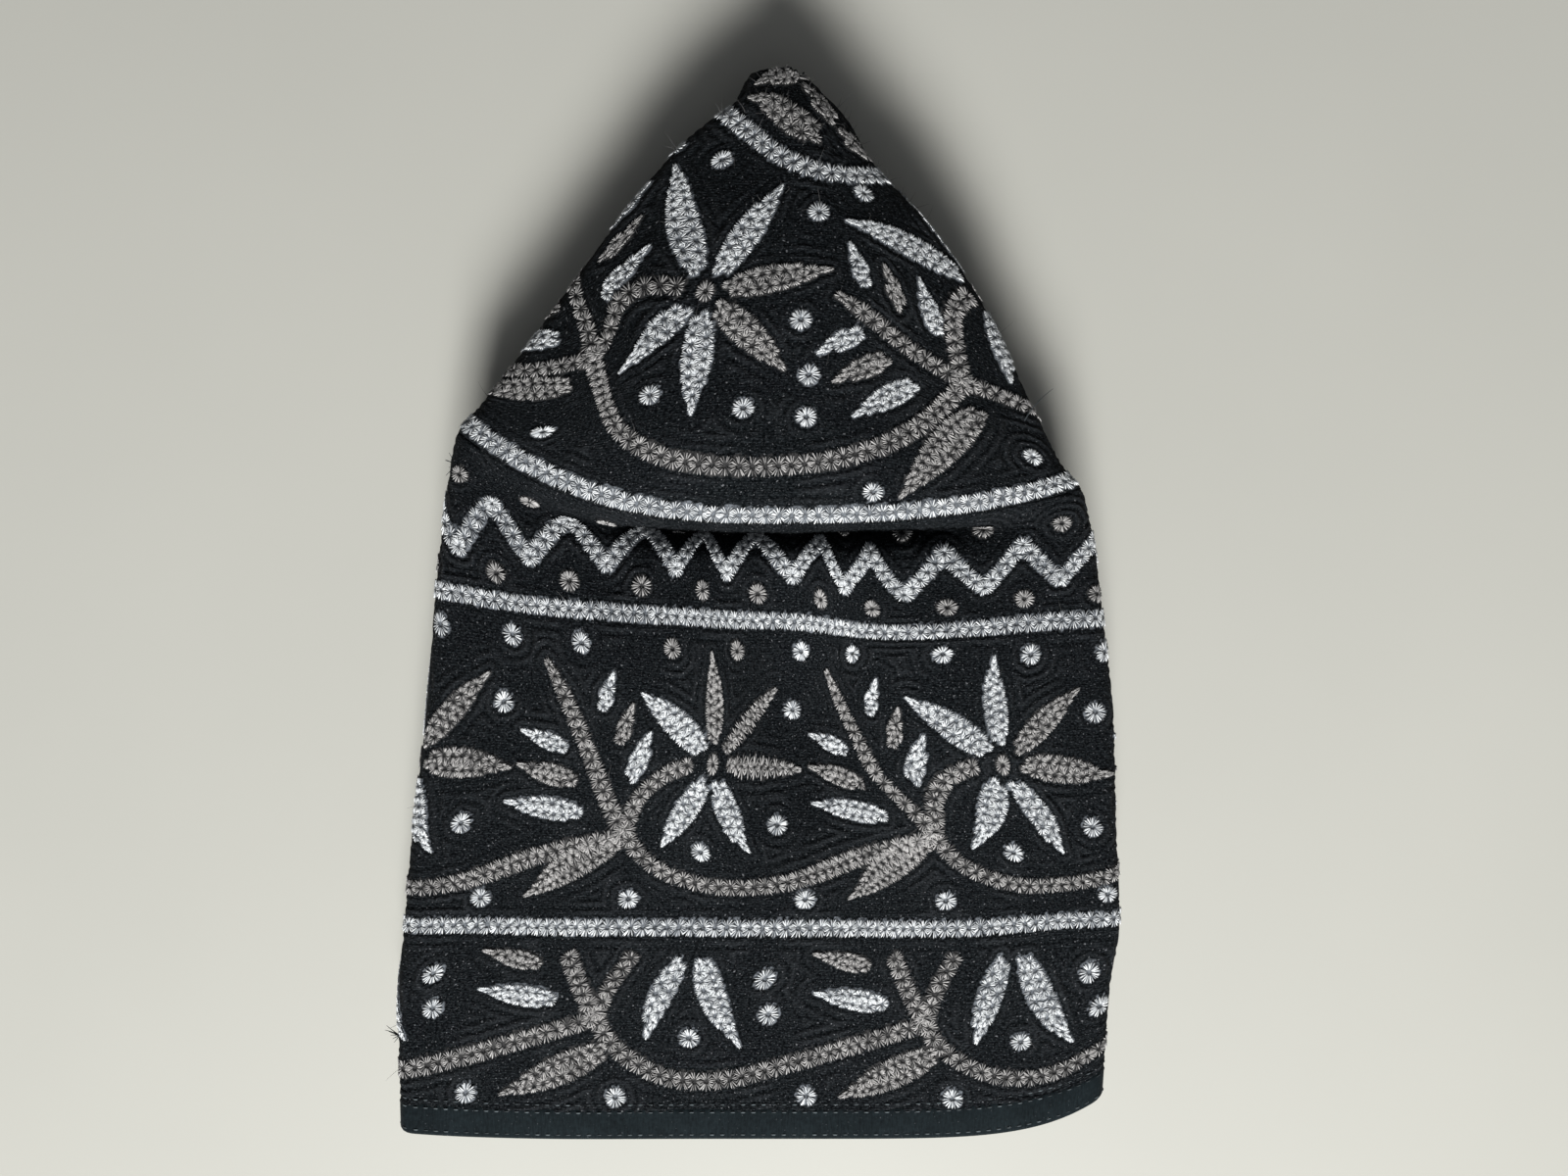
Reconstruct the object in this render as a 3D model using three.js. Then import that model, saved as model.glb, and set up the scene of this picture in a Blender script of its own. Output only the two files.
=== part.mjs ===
// A kumma, the embroidered cotton cap of Oman, lying folded flat on a table: the
// crown is pinched up into a peak and both sides are tucked in, so that four
// layers of quilted cloth lie on each other. Millimetres, +Z up, +Y towards the
// peak, z = 0 on the table.
//
// The cap is one tube of cloth closed by a round crown. A place on it has two
// coordinates: m, the way up the cloth from the hem, and the place along the
// ring that the cap makes at that m. Each ring is one closed path: across the
// front layer, round the outer fold, in and out again along the tucked-in
// gusset, round the lower fold and back across the layer on the table.
import * as THREE from "three";

// Driving dimensions of the open cap
const circumference = 576;
const bandHeight = 143;
const crownRadius = circumference / (2 * Math.PI);
const hemHeight = 6.5;
const clothThickness = 2.4;
const hemThickness = 2.6;
const seamGap = 0.5;
const crownGap = 1;

// From the middle of the front view to the middle of the cap's outline
const originShift = { x: 5.593, y: 5.975 };

// The folded cap, one row for each height m of cloth. leftX, leftY and rightX,
// rightY are the outer folds, midX and midY the middle of the front layer, crest
// the height of the front layer there and edge the height of the outer fold. open
// is the share of each side that the tucked-in gusset leaves free. roll, tuck and
// lower are the radii of the outer, inner and lower fold, lift is the height of the
// inner fold and floor of the back layer, back is how far that lies towards the
// peak, and bow is how late the ring turns up to the outer folds.
const columns = ["m", "leftX", "leftY", "midX", "midY", "rightX", "rightY",
  "crest", "edge", "open", "roll", "tuck", "lift", "lower", "floor", "back", "bow"];
const rows = [
  [0, -80.7, -115, -6.9, -115.9, 66.9, -107.5, 17.5, 13, 0.14, 2.6, 1.9, 6.4, 1.9, 0, 0, 6],
  [24, -80.7, -90.3, -6.4, -90.5, 67.9, -85.1, 21.5, 14.9, 0.14, 3.2, 1.9, 6.5, 2, 0, 1, 4],
  [45, -78.8, -70.3, -4.7, -69.3, 69.5, -70.3, 25, 16.6, 0.13, 3.8, 2, 6.6, 2.2, 0, 2, 3],
  [67, -76.6, -51.2, -4.1, -48, 68.4, -50.2, 29, 18.3, 0.11, 4.3, 2, 6.8, 2.5, 0, 3, 2.5],
  [90, -73.2, -26.4, -3, -26, 67.3, -26.4, 33, 19.9, 0.09, 4.8, 2.1, 7, 2.8, 0, 4, 2.5],
  [112, -70.8, -0.6, -3, -6.3, 64.7, -5.5, 36, 21.2, 0.08, 5.2, 2.2, 7.2, 3.1, 0, 5, 2.5],
  [126, -69.5, 11.1, -3, 5.3, 63.3, 6.1, 36.5, 21.4, 0.08, 5.4, 2.2, 7.4, 3.3, 0, 5.5, 2.5],
  [134.5, -68, 22.3, -3, 11, 61.9, 13.8, 34.5, 21.8, 0.08, 5.4, 2.2, 7.5, 3.5, 0, 6, 2.5],
  [143, -65.7, 31.7, -2.6, 12.9, 60.6, 20.1, 40.5, 23.1, 0.08, 5.6, 2.2, 7.6, 3.6, 0, 6.5, 2.5],
  [145.7, -63.7, 33.6, -2.2, 14.4, 59.5, 21.8, 43, 24.2, 0.08, 5.6, 2.2, 7.8, 3.6, 0, 7, 2.4],
  [164.7, -53.7, 45.3, -1, 30.8, 51.7, 36.8, 46.5, 25.2, 0.13, 5.6, 2.3, 8.2, 3.4, 0, 9, 2],
  [181.7, -41.6, 61.4, 1.3, 47.1, 44.2, 52.5, 46.5, 26, 0.28, 5.6, 2.8, 11, 3.2, 1, 10, 2],
  [199.7, -26.7, 81, 2.3, 64.2, 32, 71.1, 44, 27, 0.56, 5.4, 3.4, 16, 3, 5.5, 10, 2],
  [217.7, -11.8, 96.2, 3.4, 82.3, 20.6, 82.9, 38.5, 28, 0.92, 4.8, 2.6, 20.5, 3, 11, 7, 2],
  [226.7, -4.9, 101, 3.2, 93, 12.2, 92.5, 34.5, 28.6, 1, 3.6, 2, 24, 2.4, 18, 4, 2],
  [234.7, 2.4, 102.2, 2.4, 101.9, 2.4, 102.2, 29.4, 28.8, 1, 2, 1.5, 28.5, 1.5, 28.2, 0, 2],
];

// Dents and swellings of the front layer: the middle of each in x and m, how far
// it reaches each way, and its height
const dents = [
  { x: 3, m: 92, reachX: 13, reachM: 26, height: -7 },
  { x: -17, m: 92, reachX: 12, reachM: 28, height: 2.5 },
  { x: 30, m: 96, reachX: 14, reachM: 24, height: 1.5 },
  { x: -14, m: 135, reachX: 26, reachM: 6, height: -5 },
  { x: 24, m: 136, reachX: 16, reachM: 6, height: -3.5 },
  { x: -36, m: 126, reachX: 9, reachM: 13, height: -2.5 },
  { x: 12, m: 122, reachX: 7, reachM: 12, height: 2 },
  { x: -20, m: 165, reachX: 16, reachM: 18, height: 2 },
  { x: 26, m: 178, reachX: 12, reachM: 20, height: -3 },
  { x: -46, m: 30, reachX: 16, reachM: 22, height: 1.5 },
];

// Flatness of the front layer at the hem and at the crown: a higher power is a
// flatter top with a quicker fall to the folds
const flatness = { hem: 3.4, crown: 2.1 };

// The lower fold lies a little inside the outer one. In rings of less than the
// small radius the folds shrink, down to these shares of the width, and between
// the blunt radii the folded ring turns into the plain oval round the tip.
const leastWidth = 0.05;
const lowerInset = 1.5;
const smallRadius = 24;
const shares = { roll: 0.45, lower: 0.3, lowerReach: 0.4 };
const blunt = { start: 8, end: 27 };
const tip = { height: 28.8, normal: new THREE.Vector3(0, 0.97, 0.24).normalize() };

const tableColumn = (name) => rows.map((row) => row[columns.indexOf(name)]);
const stations = tableColumn("m");

// Slopes of a smooth curve through table values that never overshoots them
function tableSlopes(values) {
  const steps = stations.slice(1).map((m, i) => m - stations[i]);
  const rises = steps.map((step, i) => (values[i + 1] - values[i]) / step);
  const inner = rises.slice(1).map((rise, i) => {
    if (rise * rises[i] <= 0) return 0;
    const before = 2 * steps[i + 1] + steps[i];
    const after = steps[i + 1] + 2 * steps[i];
    return (before + after) / (before / rises[i] + after / rise);
  });
  return [rises[0], ...inner, rises[rises.length - 1]];
}

const curves = Object.fromEntries(columns.slice(1).map((name) => {
  const values = tableColumn(name);
  return [name, { values, slopes: tableSlopes(values) }];
}));

// The value of one table column at the height m of cloth
function at(name, m) {
  const { values, slopes } = curves[name];
  let i = 0;
  while (i < stations.length - 2 && m > stations[i + 1]) i += 1;
  const step = stations[i + 1] - stations[i];
  const f = (m - stations[i]) / step;
  const g = 1 - f;
  const start = values[i] * (1 + 2 * f) + slopes[i] * step * f;
  const finish = values[i + 1] * (1 + 2 * g) - slopes[i + 1] * step * g;
  return start * g * g + finish * f * f;
}

const smooth = (low, high, value) => {
  const f = Math.min(1, Math.max(0, (value - low) / (high - low)));
  return f * f * (3 - 2 * f);
};

function dentHeight(x, m) {
  return dents.reduce((sum, dent) => {
    const across = (x - dent.x) / dent.reachX;
    const along = (m - dent.m) / dent.reachM;
    return sum + dent.height * Math.exp(-across * across - along * along);
  }, 0);
}

// Pieces of half a ring, from the middle of the front layer to the middle of the
// back layer, with the number of flats on each
const flats = { front: 12, roll: 5, upper: 5, tuck: 4, under: 5, lower: 4, back: 6 };

// Half of the ring at m, on the side +1 (right) or -1 (left)
function halfRing(m, side) {
  const radius = bandHeight + crownRadius - m;
  const small = Math.min(1, radius / smallRadius);
  const name = side > 0 ? "right" : "left";
  const midX = at("midX", m);
  const width = Math.max(leastWidth, side * (at(`${name}X`, m) - midX));
  const midY = at("midY", m);
  const riseY = at(`${name}Y`, m) - midY;
  const bow = at("bow", m);
  const floor = at("floor", m) + clothThickness / 2;
  const crest = at("crest", m) - clothThickness / 2;
  const edge = at("edge", m);
  const back = at("back", m);
  const roll = Math.min(at("roll", m), width * shares.roll);
  const tuck = at("tuck", m) * small;
  const lower = Math.min(at("lower", m) * small, width * shares.lower);
  const power = flatness.hem + (flatness.crown - flatness.hem) * smooth(0, bandHeight, m);
  const rollX = width - roll;
  let lean = 0;
  for (let pass = 0; pass < 6; pass += 1) {
    const startZ = edge + roll * Math.cos(lean);
    lean = Math.atan(power * Math.max(0, crest - startZ) / (rollX + roll * Math.sin(lean)));
  }
  const frontX = rollX + roll * Math.sin(lean);
  const frontZ = edge + roll * Math.cos(lean);
  const lowerX = Math.max(width - lowerInset * small - lower, shares.lowerReach * width);
  const tuckX = Math.min(width * at("open", m) + tuck, rollX, lowerX);
  const tuckZ = at("lift", m);
  const points = [];
  const add = (x, z, depth, front) => points.push({ x, z, depth, front });
  const line = (count, x0, z0, x1, z1, d0, d1) => {
    for (let i = 0; i < count; i += 1) {
      const f = i / count;
      add(x0 + (x1 - x0) * f, z0 + (z1 - z0) * f, d0 + (d1 - d0) * f, 0);
    }
  };
  const arc = (count, x, z, size, from, turn, depth, front) => {
    for (let i = 0; i < count; i += 1) {
      const angle = from + (Math.PI - from) * (i / count);
      add(x + turn * size * Math.sin(angle), z + size * Math.cos(angle), depth, front);
    }
  };
  for (let i = 0; i < flats.front; i += 1) {
    const f = i / flats.front;
    const fall = f ** power;
    add(frontX * f, frontZ + (crest - frontZ) * (1 - fall), 0, 1 - f ** 4);
  }
  arc(flats.roll, rollX, edge, roll, lean, 1, 0, 0);
  line(flats.upper, rollX, edge - roll, tuckX, tuckZ + tuck, 0, 0.4);
  arc(flats.tuck, tuckX, tuckZ, tuck, 0, -1, 0.5, 0);
  line(flats.under, tuckX, tuckZ - tuck, lowerX, floor + 2 * lower, 0.6, 1);
  arc(flats.lower, lowerX, floor + lower, lower, 0, 1, 1, 0);
  line(flats.back, lowerX, floor, 0, floor, 1, 1);
  add(0, floor, 1, 0);
  const folded = points.map((point) => {
    const f = Math.min(1, point.x / width);
    const x = midX + side * point.x;
    const z = point.z + point.front * dentHeight(x, m);
    return new THREE.Vector3(x, midY + riseY * f ** bow + back * point.depth, z);
  });
  // Near the peak the gussets end, and the ring is a plain oval round the tip
  const plain = 1 - smooth(blunt.start, blunt.end, radius);
  if (plain === 0) return folded;
  const steps = folded.map((point, i) => (i === 0 ? 0 : point.distanceTo(folded[i - 1])));
  const whole = steps.reduce((sum, step) => sum + step, 0);
  let travelled = 0;
  return folded.map((point, i) => {
    travelled += steps[i];
    const turn = Math.PI * Math.min(1, travelled / whole);
    const x = width * Math.sin(turn);
    const middle = (crest + floor) / 2;
    const z = middle + (crest - middle) * Math.cos(turn);
    const depth = (1 - Math.cos(turn)) / 2;
    const y = midY + riseY * (x / width) ** bow + back * depth;
    return point.clone().lerp(new THREE.Vector3(midX + side * x, y, z), plain);
  });
}

// The whole ring at m, once round from the front middle over the right side
const ringCache = new Map();
function ring(m) {
  if (!ringCache.has(m)) {
    const right = halfRing(m, 1);
    const left = halfRing(m, -1).reverse();
    ringCache.set(m, [...right.slice(0, -1), ...left.slice(0, -1)]);
  }
  return ringCache.get(m);
}

// Outward directions of the cloth at each place of a ring
function ringNormals(m) {
  const reach = 1;
  const below = ring(Math.max(0, m - reach));
  const above = ring(m + reach);
  const here = ring(m);
  return here.map((_, i) => {
    const next = here[(i + 1) % here.length];
    const last = here[(i + here.length - 1) % here.length];
    const round = next.clone().sub(last);
    const up = above[i].clone().sub(below[i]);
    return round.cross(up).normalize();
  });
}

// A closed wall of cloth between the first and last of the given heights. What it
// has more than the plain cloth's thickness lies inside. With a peak, the wall
// closes over it.
function clothWall(heights, thickness, peak) {
  const outer = [];
  const inner = [];
  const outward = clothThickness / 2;
  const inward = outward - thickness;
  for (const m of heights) {
    const normals = ringNormals(m);
    outer.push(ring(m).map((p, i) => p.clone().addScaledVector(normals[i], outward)));
    inner.push(ring(m).map((p, i) => p.clone().addScaledVector(normals[i], inward)));
  }
  const count = outer[0].length;
  const positions = [...outer.flat(), ...inner.flat()];
  const faces = [];
  const quad = (a, b, c, d) => faces.push(a, b, c, a, c, d);
  const insideStart = outer.length * count;
  const last = (outer.length - 1) * count;
  for (let i = 0; i < count; i += 1) {
    const j = (i + 1) % count;
    for (let row = 0; row < last; row += count) {
      quad(row + i, row + j, row + count + j, row + count + i);
      const inside = insideStart + row;
      quad(inside + j, inside + i, inside + count + i, inside + count + j);
    }
    quad(i, insideStart + i, insideStart + j, j);
    if (!peak) quad(last + j, insideStart + last + j, insideStart + last + i, last + i);
  }
  if (peak) {
    const outside = positions.push(peak.clone().addScaledVector(tip.normal, outward)) - 1;
    const within = positions.push(peak.clone().addScaledVector(tip.normal, inward)) - 1;
    for (let i = 0; i < count; i += 1) {
      const j = (i + 1) % count;
      faces.push(last + i, last + j, outside);
      faces.push(insideStart + last + j, insideStart + last + i, within);
    }
  }
  const geometry = new THREE.BufferGeometry().setFromPoints(positions);
  geometry.setIndex(faces);
  geometry.computeVertexNormals();
  return geometry;
}

// The heights at which the cloth of each piece is shaped
const hemHeights = [0, hemHeight / 2, hemHeight];
const bandHeights = [14, 24, 34.5, 45, 56, 67, 78.5, 90, 101, 112, 119.5, 126, 130.5, 134.5, 139];
bandHeights.unshift(hemHeight + seamGap);
bandHeights.push(bandHeight - crownGap / 2);
const crownHeights = [1, 6, 13, 21.7, 30, 38.7, 47.5, 56.7, 65.5, 74.7, 81.5, 86.5];
const crownRings = crownHeights.map((rise) => bandHeight + rise);
crownRings.unshift(bandHeight + crownGap / 2);

const peakAt = stations[stations.length - 1];
const peak = new THREE.Vector3(at("midX", peakAt), at("midY", peakAt), tip.height);

const cloth = { color: 0x1d2023, roughness: 0.92, metalness: 0 };
const group = new THREE.Group();
function addPiece(name, geometry, finish) {
  const mesh = new THREE.Mesh(geometry, new THREE.MeshStandardMaterial(finish));
  mesh.name = name;
  group.add(mesh);
}

addPiece("hem_band", clothWall(hemHeights, hemThickness), { ...cloth, color: 0x16181b });
addPiece("side_band", clothWall(bandHeights, clothThickness), cloth);
addPiece("crown", clothWall(crownRings, clothThickness, peak), cloth);
group.position.set(originShift.x, originShift.y, 0);

export default group;
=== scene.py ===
import math
import bpy
import numpy as np
from mathutils.kdtree import KDTree
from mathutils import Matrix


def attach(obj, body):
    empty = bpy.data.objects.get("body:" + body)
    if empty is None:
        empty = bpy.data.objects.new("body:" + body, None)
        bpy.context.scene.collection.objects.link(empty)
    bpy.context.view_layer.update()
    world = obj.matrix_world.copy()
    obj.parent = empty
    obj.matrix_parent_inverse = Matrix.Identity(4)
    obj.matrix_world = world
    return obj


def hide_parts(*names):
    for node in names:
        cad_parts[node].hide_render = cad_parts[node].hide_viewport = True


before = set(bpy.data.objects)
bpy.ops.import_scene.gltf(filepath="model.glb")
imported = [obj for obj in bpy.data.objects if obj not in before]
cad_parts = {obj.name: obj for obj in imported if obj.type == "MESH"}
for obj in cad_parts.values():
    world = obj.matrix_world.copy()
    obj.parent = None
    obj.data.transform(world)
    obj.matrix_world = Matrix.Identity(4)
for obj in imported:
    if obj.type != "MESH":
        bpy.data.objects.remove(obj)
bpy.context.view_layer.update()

MM = 0.001
ORIGIN_SHIFT = np.array([5.593, 5.975, 0.0])
CAMERA_HEIGHT = 264.37
SENSOR_WIDTH = 36.0
IMAGE_WIDTH = 1600
FOCAL_PIXELS = 1201.7
FLOOR_HALF = 2.0
FLOOR_DROP = 0.35
FLOOR_COLOUR = (0.51, 0.51, 0.47, 1)
FLOOR_DARK = (0.485, 0.487, 0.447, 1)
FLOOR_PALE = (0.535, 0.535, 0.492, 1)
# Each lamp's name, its place and size in metres, power in watts and colour.
LAMPS = [
    ("window", (0.01, -1.22, 1.06), 0.5, 43.5, (1.0, 0.99, 0.97)),
    ("ceiling", (0.05, -0.45, 1.0), 0.6, 1.2, (0.96, 0.98, 1.0)),
]
ROOM_LIGHT = {"Color": (0.93, 0.95, 1.0, 1), "Strength": 0.05}


class Shade:
    """A value in a material's nodes. An expression on it adds the Math nodes that work it out."""

    def __init__(self, tree, socket=None):
        self.tree = tree
        self.socket = socket

    def node(self, kind, settings, inputs, output=0):
        made = self.tree.nodes.new(kind)
        for name, value in settings.items():
            setattr(made, name, value)
        for name, value in inputs.items():
            if isinstance(value, Shade):
                self.tree.links.new(value.socket, made.inputs[name])
            else:
                made.inputs[name].default_value = value
        return Shade(self.tree, made.outputs[output])

    def math(self, operation, first, second=0.0):
        return self.node("ShaderNodeMath", {"operation": operation}, {0: first, 1: second})

    def __add__(self, other):
        return self.math("ADD", self, other)

    def __radd__(self, other):
        return self.math("ADD", other, self)

    def __sub__(self, other):
        return self.math("SUBTRACT", self, other)

    def __rsub__(self, other):
        return self.math("SUBTRACT", other, self)

    def __mul__(self, other):
        return self.math("MULTIPLY", self, other)

    def __rmul__(self, other):
        return self.math("MULTIPLY", other, self)

    def cosine(self):
        return self.math("COSINE", self)

    def clamped(self):
        return self.node("ShaderNodeClamp", {}, {"Value": self})

    def between(self, low, high):
        settings = {"interpolation_type": "SMOOTHSTEP"}
        return self.node("ShaderNodeMapRange", settings, {"Value": self, 1: low, 2: high})

    def mixed(self, first, second):
        return self.node("ShaderNodeMix", {"data_type": "RGBA"}, {0: self, 6: first, 7: second}, 2)

    def noise(self, vector, scale, detail):
        return self.node("ShaderNodeTexNoise", {}, {"Vector": vector, "Scale": scale, "Detail": detail})

    def stored(self, name):
        return self.node("ShaderNodeAttribute", {"attribute_name": name}, {}, 2)

    def feeds(self, socket):
        self.tree.links.new(self.socket, self.tree.nodes["Principled BSDF"].inputs[socket])

    def bumps(self, strength, distance):
        inputs = {"Height": self, "Strength": strength, "Distance": distance}
        self.node("ShaderNodeBump", {}, inputs).feeds("Normal")


LOOKS = ("Base Color", "Roughness", "Sheen Weight", "Sheen Roughness", "Specular IOR Level")


def new_material(name, *looks):
    """A material with one Principled shader, and a Shade to build its pattern with."""
    material = bpy.data.materials.new(name)
    material.use_nodes = True
    material.diffuse_color = looks[0]
    for socket, value in zip(LOOKS, looks):
        material.node_tree.nodes["Principled BSDF"].inputs[socket].default_value = value
    return material, Shade(material.node_tree)


def put(name, data):
    made = bpy.data.objects.new(name, data)
    bpy.context.scene.collection.objects.link(made)
    return made


def place_camera():
    data = bpy.data.cameras.new("camera")
    data.sensor_width = SENSOR_WIDTH
    data.lens = FOCAL_PIXELS / IMAGE_WIDTH * SENSOR_WIDTH
    camera = put("camera", data)
    camera.location = (ORIGIN_SHIFT[0] * MM, ORIGIN_SHIFT[1] * MM, CAMERA_HEIGHT * MM)
    bpy.context.scene.camera = camera


def soft_lamp(name, place, size, watts, colour):
    """A square soft lamp that looks at the cap's middle."""
    data = bpy.data.lights.new(name, "AREA")
    data.size = size
    data.energy = watts
    data.color = colour
    lamp = put(name, data)
    lamp.location = place
    turn = -np.array(place) / np.linalg.norm(place)
    lamp.rotation_euler = (math.acos(-turn[2]), 0, math.atan2(turn[0], -turn[1]) + math.pi)


def lay_floor():
    mesh = bpy.data.meshes.new("floor")
    corners = [(-1, -1), (1, -1), (1, 1), (-1, 1)]
    mesh.from_pydata([(x * FLOOR_HALF, y * FLOOR_HALF, -FLOOR_DROP * MM) for x, y in corners], [],
                     [(0, 1, 2, 3)])
    material, maker = new_material("pale floor", FLOOR_COLOUR, 0.6)
    place = maker.node("ShaderNodeTexCoord", {}, {}, 3)
    maker.noise(place, 9.0, 4.0).mixed(FLOOR_DARK, FLOOR_PALE).feeds("Base Color")
    mesh.materials.append(material)
    put("floor", mesh)


place_camera()
lay_floor()
for lamp in LAMPS:
    soft_lamp(*lamp)
world = bpy.data.worlds.new("room")
world.use_nodes = True
for socket, value in ROOM_LIGHT.items():
    world.node_tree.nodes["Background"].inputs[socket].default_value = value
bpy.context.scene.world = world
bpy.context.scene.view_settings.view_transform = "Standard"

# The side band: black quilted cotton, cord sewn between two layers, folded flat into a front
# layer, two gussets tucked in from the sides and a back layer. It carries the crown on its
# upper rim and the turned hem strip on its lower one.
CIRCUMFERENCE = 576.0
BAND_HEIGHT = 143.0
HEM_HEIGHT = 6.5
CROWN_RADIUS = CIRCUMFERENCE / (2 * math.pi)
WALL_INWARD = 1.2
GROUND_OUTWARD = 0.7
FLATNESS = {"hem": 3.4, "crown": 2.1}
ROLL_SHARE = 0.45
LOWER_SHARE = 0.3
LOWER_REACH = 0.4
LOWER_INSET = 1.5
SMALL_RADIUS = 24.0
LEAST_WIDTH = 0.05
BLUNT = (8.0, 27.0)

# Heights over the floor and places of the folds, in millimetres, up the cloth from the hem (m).
FOLD_COLUMNS = ("m leftX leftY midX midY rightX rightY crest edge open roll tuck lift"
                " lower floor back bow").split()
FOLD_ROWS = np.array([
    [0, -80.7, -115, -6.9, -115.9, 66.9, -107.5, 17.5, 13, 0.14, 2.6, 1.9, 6.4, 1.9, 0, 0, 6],
    [24, -80.7, -90.3, -6.4, -90.5, 67.9, -85.1, 21.5, 14.9, 0.14, 3.2, 1.9, 6.5, 2, 0, 1, 4],
    [45, -78.8, -70.3, -4.7, -69.3, 69.5, -70.3, 25, 16.6, 0.13, 3.8, 2, 6.6, 2.2, 0, 2, 3],
    [67, -76.6, -51.2, -4.1, -48, 68.4, -50.2, 29, 18.3, 0.11, 4.3, 2, 6.8, 2.5, 0, 3, 2.5],
    [90, -73.2, -26.4, -3, -26, 67.3, -26.4, 33, 19.9, 0.09, 4.8, 2.1, 7, 2.8, 0, 4, 2.5],
    [112, -70.8, -0.6, -3, -6.3, 64.7, -5.5, 36, 21.2, 0.08, 5.2, 2.2, 7.2, 3.1, 0, 5, 2.5],
    [126, -69.5, 11.1, -3, 5.3, 63.3, 6.1, 36.5, 21.4, 0.08, 5.4, 2.2, 7.4, 3.3, 0, 5.5, 2.5],
    [134.5, -68, 22.3, -3, 11, 61.9, 13.8, 34.5, 21.8, 0.08, 5.4, 2.2, 7.5, 3.5, 0, 6, 2.5],
    [143, -65.7, 31.7, -2.6, 12.9, 59.8, 20.1, 40.5, 23.1, 0.08, 5.6, 2.2, 7.6, 3.6, 0, 6.5, 2.5],
    [145.7, -63.7, 33.6, -2.2, 14.4, 57.8, 21.8, 43, 24.2, 0.08, 5.6, 2.2, 7.8, 3.6, 0, 7, 2.4],
    [164.7, -53.7, 45.3, -1, 30.8, 49.3, 36.8, 46.5, 25.2, 0.13, 5.6, 2.3, 8.2, 3.4, 0, 9, 2],
    [181.7, -41.6, 61.4, 1.3, 47.1, 41.7, 52.5, 46.5, 26, 0.28, 5.6, 2.8, 11, 3.2, 1, 10, 2],
    [199.7, -26.7, 81, 2.3, 64.2, 29.5, 71.1, 44, 27, 0.56, 5.4, 3.4, 16, 3, 5.5, 10, 2],
    [217.7, -11.8, 96.2, 3.4, 82.3, 18.4, 82.9, 38.5, 28, 0.92, 4.8, 2.6, 20.5, 3, 11, 7, 2],
    [226.7, -4.9, 101.8, 3.2, 93.6, 11.2, 93.1, 34.5, 28.6, 1, 3.6, 2, 24, 2.4, 18, 4, 2],
    [234.7, 2.4, 103.2, 2.4, 102.9, 2.4, 103.2, 29.4, 28.8, 1, 2, 1.5, 28.5, 1.5, 28.2, 0, 2],
])

# Dents and swells of the front layer: place across, place up the cloth, reach each way, height.
DENTS = [
    (3, 92, 13, 26, -7),
    (-17, 92, 12, 28, 2.5),
    (30, 96, 14, 24, 1.5),
    (-14, 135, 26, 6, -5),
    (24, 136, 16, 6, -3.5),
    (-36, 126, 9, 13, -2.5),
    (12, 122, 7, 12, 2),
    (-20, 165, 16, 18, 2),
    (26, 178, 12, 20, -3),
    (-46, 30, 16, 22, 1.5),
]


def end_slopes(values):
    """Slopes of a smooth line through a column that never swings past its own rows."""
    gap = np.diff(FOLD_ROWS[:, 0])
    rise = np.diff(values) / gap
    slope = np.concatenate([rise[:1], 0 * rise[1:], rise[-1:]])
    for i in range(1, len(rise)):
        if rise[i] * rise[i - 1] > 0:
            before = 2 * gap[i] + gap[i - 1]
            after = gap[i] + 2 * gap[i - 1]
            slope[i] = (before + after) / (before / rise[i - 1] + after / rise[i])
    return slope


def fold(name, m):
    """One column of the fold table at any height up the cloth."""
    values = FOLD_ROWS[:, FOLD_COLUMNS.index(name)]
    stations = FOLD_ROWS[:, 0]
    slope = end_slopes(values)
    i = np.clip(np.searchsorted(stations, m) - 1, 0, len(stations) - 2)
    gap = stations[i + 1] - stations[i]
    f = (m - stations[i]) / gap
    g = 1 - f
    low = values[i] * (1 + 2 * f) + slope[i] * gap * f
    high = values[i + 1] * (1 + 2 * g) - slope[i + 1] * gap * g
    return low * g * g + high * f * f


def smooth(low, high, value):
    f = np.clip((value - low) / (high - low), 0, 1)
    return f * f * (3 - 2 * f)


def dent_height(x, m):
    total = 0 * x
    for across, along, reach_x, reach_m, height in DENTS:
        total = total + height * np.exp(-(((x - across) / reach_x) ** 2) - ((m - along) / reach_m) ** 2)
    return total


def unit(vectors):
    return vectors / np.maximum(1e-9, np.linalg.norm(vectors, axis=-1, keepdims=True))


def travelled_along(points):
    """How far along its line each point lies, for one line or for rows of lines."""
    step = np.linalg.norm(np.diff(points, axis=-2), axis=-1)
    return np.concatenate([np.zeros((*step.shape[:-1], 1)), np.cumsum(step, axis=-1)], axis=-1)


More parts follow.
